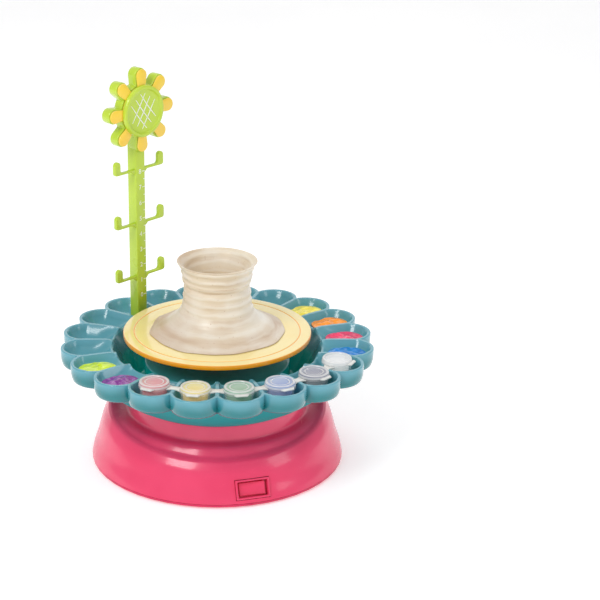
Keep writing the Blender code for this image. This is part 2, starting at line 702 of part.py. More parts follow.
def build_flower_tray():
    rim, under = TRAY_RIM_Z, TRAY_UNDER_Z
    wall_out = BASIN_FLOOR_R + TRAY_WALL
    slope = (BASIN_RIM_R - BASIN_FLOOR_R) / (BASIN_RIM_Z - BASIN_FLOOR_Z)
    low = PEDESTAL_TOP + GAP
    rings = [
        coarse_ring(SPINDLE_HOLE_R, BOSS_TOP),
        coarse_ring(BOSS_R - 0.0018, BOSS_TOP),
        coarse_ring(BOSS_R - 0.0003, BOSS_TOP - 0.0015),
        coarse_ring(BOSS_R, BASIN_FLOOR_Z),
        coarse_ring(BASIN_FLOOR_R, BASIN_FLOOR_Z),
        tray_ring(lambda a: (rim_radius(a), BASIN_RIM_Z)),
        tray_ring(lambda a: (rim_radius(a) + 0.0015, BASIN_RIM_Z + 0.0014)),
        tray_ring(lambda a: (rim_radius(a) + 0.0034, BASIN_RIM_Z + 0.0014 - 0.0010 * well_depth(a))),
        tray_ring(lambda a: (WELL_IN_R, well_z(a))),
        tray_ring(lambda a: (min(WELL_OUT_R, petal_radius(a) - 0.0036), well_z(a))),
        tray_ring(lambda a: (petal_radius(a) - 0.0030, rim - 0.0006)),
        tray_ring(lambda a: (petal_radius(a) - 0.0014, rim)),
        tray_ring(lambda a: (petal_radius(a), rim - 0.0015)),
        tray_ring(lambda a: (petal_radius(a) - 0.0002, under + 0.0036)),
        tray_ring(lambda a: (petal_radius(a) - 0.0026, under + 0.0006)),
        tray_ring(lambda a: (petal_radius(a) - 0.0060, under)),
        coarse_ring(wall_out + slope * (under - BASIN_FLOOR_Z), under),
        coarse_ring(wall_out, BASIN_FLOOR_Z),
        coarse_ring(wall_out - 0.0010, low),
        coarse_ring(BOSS_R - TRAY_WALL, low),
        coarse_ring(BOSS_R - TRAY_WALL, BOSS_TOP - TRAY_WALL),
        coarse_ring(SPINDLE_HOLE_R, BOSS_TOP - TRAY_WALL),
    ]
    tray = finish("flower_tray", join_rings(rings), TEAL, roughness=0.25)
    turn = Matrix.Translation(polar(POST_AZ, POST_RING_R)) @ Matrix.Rotation(math.radians(POST_AZ), 4, "Z")
    half = PLUG_W / 2 + 0.0020
    block = box("tool_post_block", (-half, -half, under - 0.0035), (half, half, WELL_FLOOR_Z - 0.0010), TEAL, turn)
    boolean(tray, block, "UNION")
    half = POST_W / 2 + GAP
    seat = box("tool_post_seat", (-half, -half, WELL_FLOOR_Z), (half, half, rim + 0.0010), TEAL, turn)
    boolean(tray, seat, "DIFFERENCE")
    half = PLUG_W / 2 + GAP
    hole = box("tool_post_hole", (-half, -half, under - 0.0080), (half, half, WELL_FLOOR_Z + 0.0050), TEAL, turn)
    boolean(tray, hole, "DIFFERENCE")
    return tray


def build_skirt():
    """The bowl-shaped cover under the petals."""
    top = TRAY_UNDER_Z - GAP
    low = PEDESTAL_TOP + GAP
    rise = top - low
    reach = SKIRT_TOP_R - SKIRT_LOW_R
    outer = [(SKIRT_TOP_R, top), (SKIRT_TOP_R, top - 0.0010), (SKIRT_LOW_R + 0.62 * reach, low + 0.56 * rise),
             (SKIRT_LOW_R + 0.25 * reach, low + 0.20 * rise), (SKIRT_LOW_R, low + 0.0008),
             (SKIRT_LOW_R - 0.0008, low)]
    inner = [(SKIRT_LOW_R - 0.0023, low), (SKIRT_LOW_R - 0.0023, low + 0.0018),
             (SKIRT_LOW_R + 0.25 * reach - 0.0020, low + 0.20 * rise + 0.0016),
             (SKIRT_LOW_R + 0.62 * reach - 0.0020, low + 0.56 * rise + 0.0016), (SKIRT_TOP_R - 0.0020, top)]
    lathe("tray_skirt", outer + inner, TEAL, 48, roughness=0.25)


def build_paint_pools():
    colours = {"lime": (-63.0, (0.56, 0.72, 0.0)), "purple": (-45.0, (0.20, 0.02, 0.26)),
               "blue": (81.0, (0.0, 0.20, 0.62)), "pink": (99.0, (0.86, 0.03, 0.13)),
               "orange": (117.0, (1.0, 0.28, 0.0)), "yellow": (135.0, (1.0, 0.80, 0.10))}
    floor = WELL_FLOOR_Z + GAP
    for name, (azimuth, color) in colours.items():
        place = polar(azimuth, WELL_R)
        outline = [(0.0074 * math.cos(t), 0.0084 * math.sin(t)) for t in steps_round(14)]
        turn = Matrix.Translation(place) @ Matrix.Rotation(math.radians(azimuth), 4, "Z")
        prism(f"paint_{name}", outline, floor, floor + 0.0046, color, turn, roughness=0.2)


def steps_round(count):
    return [2 * math.pi * i / count for i in range(count)]


# ---------------------------------------------------------------- turntable and pot
def build_turntable():
    top, low = TABLE_TOP, TABLE_TOP - TABLE_T
    profile = [(0.0, top), (TABLE_R - 0.0009, top), (TABLE_R, top - 0.0008), (TABLE_R, low + 0.0009),
               (TABLE_R - 0.0012, low), (0.0, low)]
    lathe("turntable", profile, CREAM, 64, roughness=0.12)
    hub_low = BOSS_TOP + 0.0008
    flange = low - GAP
    bore = SPINDLE_R + GAP
    hub = [(bore, flange), (HUB_FLANGE_R, flange), (HUB_FLANGE_R, flange - 0.0016),
           (HUB_R + 0.0030, flange - 0.0016),
           (HUB_R, flange - 0.0046), (HUB_R, hub_low), (bore, hub_low)]
    lathe("drive_hub", hub, ORANGE, 24, roughness=0.3)


def pot_outer():
    """The pot's outer profile from its lip down: (radius, height above the turntable)."""
    rim, neck, foot = POT_RIM_R, POT_NECK_R, POT_FOOT_R
    return [
        (rim, POT_H), (rim - 0.0012, 0.945 * POT_H), (rim - 0.0024, 0.87 * POT_H), (neck + 0.0003, 0.79 * POT_H),
        (neck - 0.0001, 0.73 * POT_H), (neck - 0.0014, 0.675 * POT_H), (neck - 0.0006, 0.62 * POT_H),
        (neck - 0.0002, 0.53 * POT_H), (neck, 0.44 * POT_H), (neck + 0.0008, 0.34 * POT_H),
        (neck + 0.0030, 0.25 * POT_H), (neck + 0.0072, 0.16 * POT_H), (neck + 0.0125, 0.09 * POT_H),
        (foot - 0.0035, 0.035 * POT_H), (foot, 0.010 * POT_H), (foot - 0.0002, 0.0),
    ]


def build_pot():
    base = TABLE_TOP + GAP
    outer = [(r, base + h) for r, h in pot_outer()]
    inner = [(0.0, base + 0.20 * POT_H), (POT_NECK_R - POT_WALL - 0.0030, base + 0.22 * POT_H),
             (POT_NECK_R - POT_WALL - 0.0006, base + 0.36 * POT_H), (POT_NECK_R - POT_WALL - 0.0006, base + 0.68 * POT_H),
             (POT_RIM_R - 0.0048, base + 0.90 * POT_H), (POT_RIM_R - 0.0022, base + POT_H)]
    lathe("clay_pot", inner + outer + [(0.0, base)], CLAY, 32, roughness=0.7)


# ---------------------------------------------------------------- post and flower
def post_matrix(z=0.0):
    """The post's frame: x along the hooks, -y towards the wheel's axis, z up."""
    return Matrix.Translation(polar(POST_AZ, POST_RING_R, z)) @ Matrix.Rotation(math.radians(POST_AZ + 180.0), 4, "Z")


def build_post():
    half = POST_W / 2
    post = box("measuring_post", (-half, -half, POST_FOOT_Z), (half, half, POST_TOP), LIME, post_matrix(),
               roughness=0.25)
    back = box("tool_post_back", (-half + 0.0014, -half + 0.0014, POST_FOOT_Z + 0.0060),
               (half - 0.0014, half + 0.0020, POST_TOP - 0.0300), LIME, post_matrix())
    boolean(post, back, "DIFFERENCE")
    plug = box("tool_post_plug", (-PLUG_W / 2, -PLUG_W / 2, POST_FOOT_Z - PLUG_LEN),
               (PLUG_W / 2, PLUG_W / 2, POST_FOOT_Z + 0.0010), LIME, post_matrix())
    boolean(post, plug, "UNION")
    for level, z in enumerate(HOOK_Z):
        for side in (-1.0, 1.0):
            boolean(post, build_hook(f"tool_hook_{level}_{int(side > 0)}", z, side), "UNION")
    return post


def build_hook(name, z, side):
    """One arm with its upturned round-ended paddle and the gusset under its root."""
    inside = POST_W / 2 - 0.0007
    reach, wide, tall, thick = HOOK_REACH, PADDLE_W / 2, PADDLE_H, 0.0014
    arc = [(reach + wide * math.cos(t), tall - wide + wide * math.sin(t)) for t in
           [math.pi * k / 6 for k in range(7)]]
    outline = [(inside, -0.0030), (inside + 0.0030, -thick / 2), (reach + wide - 0.0010, -thick / 2),
               (reach + wide, 0.0004)] + arc + [(reach - wide, thick / 2), (inside, thick / 2)]
    points = [(side * x, y) for x, y in outline]
    if side < 0:
        points.reverse()
    front = -POST_W / 2 + 0.0006
    upright = Matrix.Rotation(math.radians(90.0), 4, "X")
    matrix = post_matrix(z) @ Matrix.Translation((0.0, front + HOOK_T, 0.0)) @ upright
    return prism(name, points, 0.0, HOOK_T, LIME, matrix)


def flower_outline(tip_r, body_r, lobe_half, flare=0.0):
    """A ring of round-ended petals: straight sides from the body and an arc at each tip."""
    points = []
    for lobe in range(FLOWER_LOBES):
        middle = 2 * math.pi * lobe / FLOWER_LOBES + math.pi / 2
        along = Vector((math.cos(middle), math.sin(middle)))
        across = Vector((-along.y, along.x))
        centre = along * (tip_r - lobe_half)
        root = along * math.sqrt(body_r ** 2 - (lobe_half - flare) ** 2)
        points.append(root - across * (lobe_half - flare))
        for k in range(7):
            t = -math.pi / 2 + math.pi * k / 6
            points.append(centre + along * lobe_half * math.cos(t) + across * lobe_half * math.sin(t))
        points.append(root + across * (lobe_half - flare))
    return [(p.x, p.y) for p in points]


def flower_matrix():
    """The flower's frame: its outline in x and y, its face along z, looking at the wheel's axis."""
    upright = Matrix.Rotation(math.radians(90.0), 4, "X")
    return post_matrix(FLOWER_Z) @ upright


def build_flower():
    matrix = flower_matrix()
    back = POST_W / 2 + GAP + FLOWER_SKIN - FLOWER_T
    head = prism("flower_head", flower_outline(FLOWER_TIP_R, FLOWER_BODY_R, 0.0046, 0.0006), back, back + FLOWER_T,
                 LIME, matrix, roughness=0.25)
    half = POST_W / 2 + GAP
    socket = box("tool_head_socket", (-half, -half, POST_TOP - 0.0300), (half, half + 0.0010, POST_TOP + GAP), LIME,
                 post_matrix())
    boolean(head, socket, "DIFFERENCE")
    plate_low = back + FLOWER_T + GAP
    prism("petal_insert", flower_outline(FLOWER_TIP_R - 0.0009, RING_R - 0.0006, 0.0037, 0.0006), plate_low,
          plate_low + 0.0008, GOLD, matrix, roughness=0.3)
    ring_low = plate_low + 0.0008 + GAP
    ring_top = ring_low + RING_T
    profile = [(0.0, ring_low + 0.0006), (0.6 * DISH_R, ring_low + 0.0007), (DISH_R, ring_top - 0.0003),
               (DISH_R + 0.0012, ring_top), (RING_R - 0.0006, ring_top - 0.0002), (RING_R, ring_top - 0.0010),
               (RING_R, ring_low), (0.0, ring_low)]
    centre = lathe("flower_center", profile, LIME, 28, roughness=0.25)
    centre.data.transform(matrix)


# ---------------------------------------------------------------- paint pots
def cup_profile():
    outer, wall = CUP_R, CUP_WALL
    foot = outer - CUP_TAPER
    return [(0.0, CUP_FOOT_Z + wall), (foot - wall, CUP_FOOT_Z + wall), (outer - wall, CUP_TOP_Z),
            (outer + CUP_LIP, CUP_TOP_Z), (outer + CUP_LIP, CUP_TOP_Z - 0.0010), (outer - 0.0001, CUP_TOP_Z - 0.0010),
            (foot, CUP_FOOT_Z + 0.0004), (foot - 0.0004, CUP_FOOT_Z), (0.0, CUP_FOOT_Z)]


def build_paint_pots():
    colours = ((0.50, 0.0, 0.0), (0.80, 0.52, 0.01), (0.01, 0.22, 0.02), (0.01, 0.03, 0.28), (0.01, 0.01, 0.02),
               (0.85, 0.85, 0.83))
    strip = None
    for index, azimuth in enumerate(CUP_AZ):
        place = polar(azimuth, WELL_R)
        name = "paint_pot_strip" if index == 0 else f"tool_cup_{index}"
        cup = lathe(name, cup_profile(), CLEAR, 18, place[:2], roughness=0.15)
        if strip is None:
            strip = cup
        else:
            boolean(strip, cup, "UNION")
            boolean(strip, build_web(index), "UNION")
        floor = CUP_FOOT_Z + CUP_WALL + GAP
        radius = CUP_R - CUP_WALL - CUP_TAPER - GAP
        cylinder(f"pot_paint_{index + 1}", radius, floor, floor + PAINT_H, colours[index], 14, place[:2],
                 roughness=0.3)
        build_lid(index, azimuth, place, colours[index])


def build_web(index):
    """The flat strip between two cups."""
    near, far = polar(CUP_AZ[index - 1], WELL_R), polar(CUP_AZ[index], WELL_R)
    across = (far - near).normalized()
    start = near + across * (CUP_R - 0.0004)
    length = (far - near).length - 2 * (CUP_R - 0.0004)
    frame = Matrix.Translation(start) @ Matrix.Rotation(math.atan2(across.y, across.x), 4, "Z")
    return box(f"tool_web_{index}", (0.0, -0.0024, CUP_TOP_Z - 0.0008), (length, 0.0024, CUP_TOP_Z - 0.0001), CLEAR,
               frame)


def build_lid(index, azimuth, place, color):
    low = CUP_TOP_Z + GAP
    top = low + LID_T
    profile = [(0.0, top - 0.0005), (LID_R - 0.0024, top - 0.0005), (LID_R - 0.0018, top), (LID_R - 0.0006, top),
               (LID_R, top - 0.0008), (LID_R, low), (0.0, low)]
    lid = lathe(f"pot_lid_{index + 1}", profile, tuple(0.5 + 0.5 * c for c in color), 18, place[:2], roughness=0.1)
    frame = Matrix.Translation(place) @ Matrix.Rotation(math.radians(azimuth), 4, "Z")
    tab = prism(f"tool_tab_{index}", [(-0.0032, -LID_R - 0.0016), (0.0032, -LID_R - 0.0016), (0.0044, -LID_R + 0.0010),
                                      (-0.0044, -LID_R + 0.0010)], low, low + 0.0009, WHITE, frame)
    boolean(lid, tab, "UNION")
    pivot = polar(azimuth, WELL_R - LID_R, low)
    hinge_at(lid, pivot)


clear_scene()
build_base_shell()
build_bottom_cover()
build_feet_and_screws()
build_batteries()
build_battery_door()
build_drive()
build_gearbox_plate()
build_switch()
build_flower_tray()
build_skirt()
build_paint_pools()
build_turntable()
build_pot()
build_post()
build_flower()
build_paint_pots()
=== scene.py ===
"""Visual model of a children's pottery wheel with a flower-shaped paint tray.

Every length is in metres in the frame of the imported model: +Z up, the origin on the wheel's axis at floor level.
Azimuths are in degrees from the front (-Y), positive towards the right (+X).
"""
import logging
import math
from dataclasses import dataclass, field
from enum import Enum
from typing import Callable, Sequence

import bmesh
import bpy
import numpy as np
from mathutils import Matrix, Vector, noise


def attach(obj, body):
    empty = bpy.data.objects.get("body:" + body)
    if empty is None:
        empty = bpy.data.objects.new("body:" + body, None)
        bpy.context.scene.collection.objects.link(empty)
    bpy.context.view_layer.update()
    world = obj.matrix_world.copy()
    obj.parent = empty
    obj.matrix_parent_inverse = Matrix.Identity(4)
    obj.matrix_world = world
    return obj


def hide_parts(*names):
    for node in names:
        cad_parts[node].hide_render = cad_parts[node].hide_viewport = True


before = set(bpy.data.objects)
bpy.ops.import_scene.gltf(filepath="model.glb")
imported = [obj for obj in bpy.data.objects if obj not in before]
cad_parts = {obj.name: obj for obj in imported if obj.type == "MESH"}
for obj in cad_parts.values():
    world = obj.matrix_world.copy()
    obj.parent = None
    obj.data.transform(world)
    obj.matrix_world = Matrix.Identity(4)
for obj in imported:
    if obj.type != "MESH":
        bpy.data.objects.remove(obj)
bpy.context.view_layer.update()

LOG = logging.getLogger("pottery_wheel")
TAU = 2.0 * math.pi
MICRO_RELIEF = 0.00002
Profile = list[tuple[float, float]]
Section = Callable[[float], Profile]
Colour = tuple[float, float, float]


# ---------------------------------------------------------------- small maths
def srgb(red: float, green: float, blue: float) -> Colour:
    """Gives the linear colour of three display values from 0 to 255."""
    return tuple(((c / 255.0 + 0.055) / 1.055) ** 2.4 if c > 10.3 else c / 3294.6 for c in (red, green, blue))


def polar(azimuth: float, radius: float, z: float = 0.0) -> Vector:
    """Gives the point at an azimuth from the front, a radius and a height."""
    a = math.radians(azimuth)
    return Vector((radius * math.sin(a), -radius * math.cos(a), z))


def ease(t: float) -> float:
    """Goes smoothly from 0 to 1 as t does."""
    t = min(1.0, max(0.0, t))
    return t * t * (3.0 - 2.0 * t)


def mix(a: float, b: float, t: float) -> float:
    """Gives a at t 0 and b at t 1."""
    return a + (b - a) * t


def rounded(points: Sequence[tuple[float, ...]], steps: int = 4, closed: bool = False) -> Profile:
    """Turns a profile's corners into arcs.

    Args:
        points: Corners as (radius, height) or (radius, height, size of the rounding).
        steps: Number of spans in each rounding.
        closed: Whether the last corner joins the first.

    Returns:
        The profile as (radius, height) pairs.
    """
    made: Profile = []
    count = len(points)
    for i, point in enumerate(points):
        here = Vector(point[:2])
        size = point[2] if len(point) > 2 else 0.0
        inside = closed or 0 < i < count - 1
        if size == 0.0 or not inside:
            made.append((here.x, here.y))
            continue
        before, after = Vector(points[i - 1][:2]), Vector(points[(i + 1) % count][:2])
        back, on = before - here, after - here
        start = here + back.normalized() * min(size, 0.48 * back.length)
        end = here + on.normalized() * min(size, 0.48 * on.length)
        for k in range(steps + 1):
            t = k / steps
            p = start * (1 - t) ** 2 + here * (2 * t * (1 - t)) + end * t ** 2
            made.append((p.x, p.y))
    return made


def curve_through(points: Sequence[tuple[float, float]], spans: int = 5) -> Profile:
    """Draws a smooth curve through a profile's points.

    Args:
        points: The (radius, height) pairs that the curve passes.
        spans: Number of spans between neighbouring points.

    Returns:
        The curve as (radius, height) pairs, both ends among them.
    """
    made: Profile = []
    for i in range(len(points) - 1):
        p1, p2 = Vector(points[i]), Vector(points[i + 1])
        p0 = Vector(points[i - 1]) if i else p1 * 2 - p2
        p3 = Vector(points[i + 2]) if i + 2 < len(points) else p2 * 2 - p1
        for k in range(spans):
            t = k / spans
            p = 0.5 * (p1 * 2 + (p2 - p0) * t + (p0 * 2 - p1 * 5 + p2 * 4 - p3) * t ** 2
                       + (p1 * 3 - p0 - p2 * 3 + p3) * t ** 3)
            made.append((p.x, p.y))
    made.append(tuple(points[-1]))
    return made


# ---------------------------------------------------------------- modelling by operators
def leave_edit_mode() -> None:
    """Goes back to object mode."""
    if bpy.context.object is not None and bpy.context.object.mode != "OBJECT":
        bpy.ops.object.mode_set(mode="OBJECT")


def deselect_all() -> None:
    """Leaves nothing selected, in object mode."""
    leave_edit_mode()
    bpy.ops.object.select_all(action="DESELECT")


def choose(piece: bpy.types.Object) -> None:
    """Selects one piece alone and makes it active.

    Args:
        piece: The piece.
    """
    deselect_all()
    piece.select_set(True)
    bpy.context.view_layer.objects.active = piece


def name_piece(piece: bpy.types.Object, name: str) -> bpy.types.Object:
    """Names a piece and its mesh.

    Args:
        piece: The piece.
        name: The name to give.

    Returns:
        The piece.
    """
    piece.name = name
    piece.data.name = name
    return piece


def draw_line(name: str, points: Sequence[Vector], closed: bool) -> bpy.types.Object:
    """Draws a chain of edges by extruding one vertex from point to point.

    Args:
        name: Name of the new object.
        points: The chain's points.
        closed: Whether the last point is joined to the first.

    Returns:
        The object, left in edit mode with all of it selected.
    """
    deselect_all()
    bpy.ops.mesh.primitive_plane_add(size=0.001, location=(0.0, 0.0, 0.0))
    piece = name_piece(bpy.context.object, name)
    bpy.ops.object.mode_set(mode="EDIT")
    bpy.ops.mesh.select_all(action="SELECT")
    bpy.ops.mesh.merge(type="CENTER")
    bpy.ops.transform.translate(value=points[0])
    for here, following in zip(points, points[1:]):
        bpy.ops.mesh.extrude_vertices_move(TRANSFORM_OT_translate={"value": following - here})
    if closed:
        drawn = bmesh.from_edit_mesh(piece.data)
        for vertex in drawn.verts:
            vertex.select_set(len(vertex.link_edges) == 1)
        drawn.select_flush_mode()
        bmesh.update_edit_mesh(piece.data)
        bpy.ops.mesh.edge_face_add()
    bpy.ops.mesh.select_all(action="SELECT")
    return piece


def turned(name: str, section: Section, steps: int, closed: bool = True, start: float = 9.0) -> bpy.types.Object:
    """Spins a section round the wheel's axis and lets the section change on the way.

    Args:
        name: Name of the new object.
        section: Gives the section's (radius, height) pairs at an azimuth, always the same number.
        steps: Number of spans in the whole turn.
        closed: Whether the section is a closed loop, so that the piece has a bore.
        start: Azimuth whose section is drawn first.

    Returns:
        The object, in object mode.
    """
    drawn = section(start)
    piece = draw_line(name, [Vector((r, 0.0, z)) for r, z in drawn], closed)
    bpy.ops.mesh.spin(steps=steps, angle=TAU, center=(0.0, 0.0, 0.0), axis=(0.0, 0.0, 1.0))
    bpy.ops.mesh.select_all(action="SELECT")
    bpy.ops.mesh.remove_doubles(threshold=1e-6)
    leave_edit_mode()
    count = len(piece.data.vertices)
    places = np.zeros(count * 3, np.float32)
    piece.data.vertices.foreach_get("co", places)
    places = places.reshape(-1, 3).astype(float)
    radii = np.hypot(places[:, 0], places[:, 1])
    first = np.array(drawn)
    azimuths = np.degrees(np.arctan2(places[:, 0], -places[:, 1]))
    sections: dict[int, Profile] = {}
    for i in range(count):
        k = int(np.argmin((first[:, 0] - radii[i]) ** 2 + (first[:, 1] - places[i, 2]) ** 2))
        if first[k, 0] < 1e-7:
            continue
        key = round(azimuths[i] * 1000)
        if key not in sections:
            sections[key] = section(azimuths[i])
        radius, z = sections[key][k]
        places[i] = polar(azimuths[i], radius, z)
    piece.data.vertices.foreach_set("co", places.astype(np.float32).ravel())
    face_outwards(piece)
    return piece


def face_outwards(piece: bpy.types.Object) -> None:
    """Merges doubles and turns the faces of a closed piece outwards.

    Args:
        piece: The piece.
    """
    choose(piece)
    bpy.ops.object.mode_set(mode="EDIT")
    bpy.ops.mesh.select_all(action="SELECT")
    bpy.ops.mesh.remove_doubles(threshold=1e-7)
    bpy.ops.mesh.normals_make_consistent(inside=False)
    leave_edit_mode()


def plate(name: str, outline: Sequence[tuple[float, float]], low: float, high: float) -> bpy.types.Object:
    """Fills an outline in x and y and extrudes it from low to high in z.

    Args:
        name: The name to give.
        outline: Corners in x and y, in order.
        low: Height of the lower face.
        high: Height of the upper face.

    Returns:
        The piece.
    """
    piece = draw_line(name, [Vector((x, y, low)) for x, y in outline], True)
    bpy.ops.mesh.edge_face_add()
    bpy.ops.mesh.extrude_region_move(TRANSFORM_OT_translate={"value": (0.0, 0.0, high - low)})
    bpy.ops.mesh.select_all(action="SELECT")
    bpy.ops.mesh.normals_make_consistent(inside=False)
    leave_edit_mode()
    return piece


def block(name: str, low: Sequence[float], high: Sequence[float]) -> bpy.types.Object:
    """Starts a piece as a block between two corners, its place and size applied.

    Args:
        name: The name to give.
        low: Lowest corner.
        high: Highest corner.

    Returns:
        The piece.
    """
    deselect_all()
    middle = [(a + b) / 2 for a, b in zip(low, high)]
    size = [b - a for a, b in zip(low, high)]
    bpy.ops.mesh.primitive_cube_add(size=1.0, location=middle)
    piece = name_piece(bpy.context.object, name)
    bpy.ops.transform.resize(value=size)
    bpy.ops.object.transform_apply(location=True, rotation=True, scale=True)
    return piece


def select_faces(piece: bpy.types.Object, rule: Callable[[bmesh.types.BMFace], bool]) -> None:
    """Enters edit mode with only those faces selected for which the rule holds.

    Args:
        piece: The piece.
        rule: Says whether a face is selected.
    """
    choose(piece)
    bpy.ops.object.mode_set(mode="EDIT")
    bpy.ops.mesh.select_mode(type="FACE")
    bpy.ops.mesh.select_all(action="DESELECT")
    shape = bmesh.from_edit_mesh(piece.data)
    for face in shape.faces:
        face.select_set(rule(face))
    bmesh.update_edit_mesh(piece.data)


def sink_face(piece: bpy.types.Object, direction: Sequence[float], margin: float, depth: float) -> None:
    """Insets the face that looks along a direction and pushes it inwards.

    Args:
        piece: The piece.
        direction: Direction that the face looks in.
        margin: Width of the frame that stays.
        depth: How far the face goes in.
    """
    along = Vector(direction)
    select_faces(piece, lambda face: face.normal.dot(along) > 0.9)
    bpy.ops.mesh.inset(thickness=margin)
    bpy.ops.mesh.extrude_region_move(TRANSFORM_OT_translate={"value": -along * depth})
    bpy.ops.mesh.select_mode(type="VERT")
    leave_edit_mode()


def place(piece: bpy.types.Object, matrix: Matrix) -> bpy.types.Object:
    """Puts a piece at a matrix and applies it to the mesh.

    Args:
        piece: The piece.
        matrix: The frame to put it in.

    Returns:
        The piece.
    """
    choose(piece)
    piece.matrix_world = matrix
    bpy.ops.object.transform_apply(location=True, rotation=True, scale=True)
    return piece


def round_edges(piece: bpy.types.Object, width: float, segments: int = 3, angle: float = 30.0) -> None:
    """Rounds a piece's sharp edges.

    Args:
        piece: The piece.
        width: Width of the rounding.
        segments: Steps across it.
        angle: Edges flatter than this, in degrees, stay as they are.
    """
    choose(piece)
    bevel = piece.modifiers.new("rounding", "BEVEL")
    bevel.width = width
    bevel.segments = segments
    bevel.limit_method = "ANGLE"
    bevel.angle_limit = math.radians(angle)
    bevel.harden_normals = False
    bpy.ops.object.modifier_apply(modifier=bevel.name)


def cut(piece: bpy.types.Object, cutter: bpy.types.Object) -> None:
    """Cuts one piece's shape out of another and throws the cutter away.

    Args:
        piece: The piece that is cut.
        cutter: The shape that is taken away.
    """
    choose(piece)
    boolean = piece.modifiers.new("cut", "BOOLEAN")
    boolean.operation = "DIFFERENCE"
    boolean.solver = "EXACT"
    boolean.object = cutter
    bpy.ops.object.modifier_apply(modifier=boolean.name)
    bpy.data.objects.remove(cutter)


def join(name: str, parts: Sequence[bpy.types.Object]) -> bpy.types.Object:
    """Joins several objects into one piece.

    Args:
        name: The name to give.
        parts: The objects to join.

    Returns:
        The piece.
    """
    deselect_all()
    for part in parts:
        part.select_set(True)
    bpy.context.view_layer.objects.active = parts[0]
    bpy.ops.object.join()
    return name_piece(parts[0], name)


def smooth(piece: bpy.types.Object, angle: float = 38.0) -> None:
    """Shades a piece smooth, except over edges sharper than the angle.

    Args:
        piece: The piece.
        angle: Edges sharper than this, in degrees, stay crisp.
    """
    choose(piece)
    bpy.ops.object.shade_smooth_by_angle(angle=math.radians(angle))
    deselect_all()


def softened_copy(node: str, name: str, width: float) -> bpy.types.Object:
    """Copies a node's shape, merges its loose triangles and rounds its edges.

    Args:
        node: The CAD node to copy.
        name: The name to give.
        width: Width of the rounding.

    Returns:
        The piece.
    """
    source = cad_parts[node]
    piece = bpy.data.objects.new(name, source.data.copy())
    bpy.context.scene.collection.objects.link(piece)
    piece.data.materials.clear()
    face_outwards(piece)
    choose(piece)
    bpy.ops.object.mode_set(mode="EDIT")
    bpy.ops.mesh.select_all(action="SELECT")
    bpy.ops.mesh.dissolve_limited(angle_limit=math.radians(1.0))
    leave_edit_mode()
    round_edges(piece, width)
    return name_piece(piece, name)


def show(piece: bpy.types.Object, finish: "Finish", body: str, stands_for: Sequence[str] = (),
         angle: float = 38.0) -> bpy.types.Object:
    """Gives a finished piece its finish and its body, and hides the nodes that it stands for.

    Args:
        piece: The finished object, at the origin.
        finish: The finish that it takes.
        body: Body that it moves with.
        stands_for: Nodes that it hides.
        angle: Sharpest angle that is shaded smooth.

    Returns:
        The same object.
    """
    smooth(piece, angle)
    piece.data.materials.clear()
    piece.data.materials.append(finish.material())
    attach(piece, body)
    if stands_for:
        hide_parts(*stands_for)
    LOG.info("%s: %d faces, with %s", piece.name, len(piece.data.polygons), body)
    return piece


def dress(nodes: Sequence[str], finish: "Finish") -> None:
    """Gives nodes that keep their own shape a finish.

    Args:
        nodes: Names of the CAD nodes.
        finish: The finish they get.
    """
    for node in nodes:
        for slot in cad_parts[node].material_slots:
            slot.material = finish.material()
        LOG.info("%s: own shape, %s", node, finish.name)


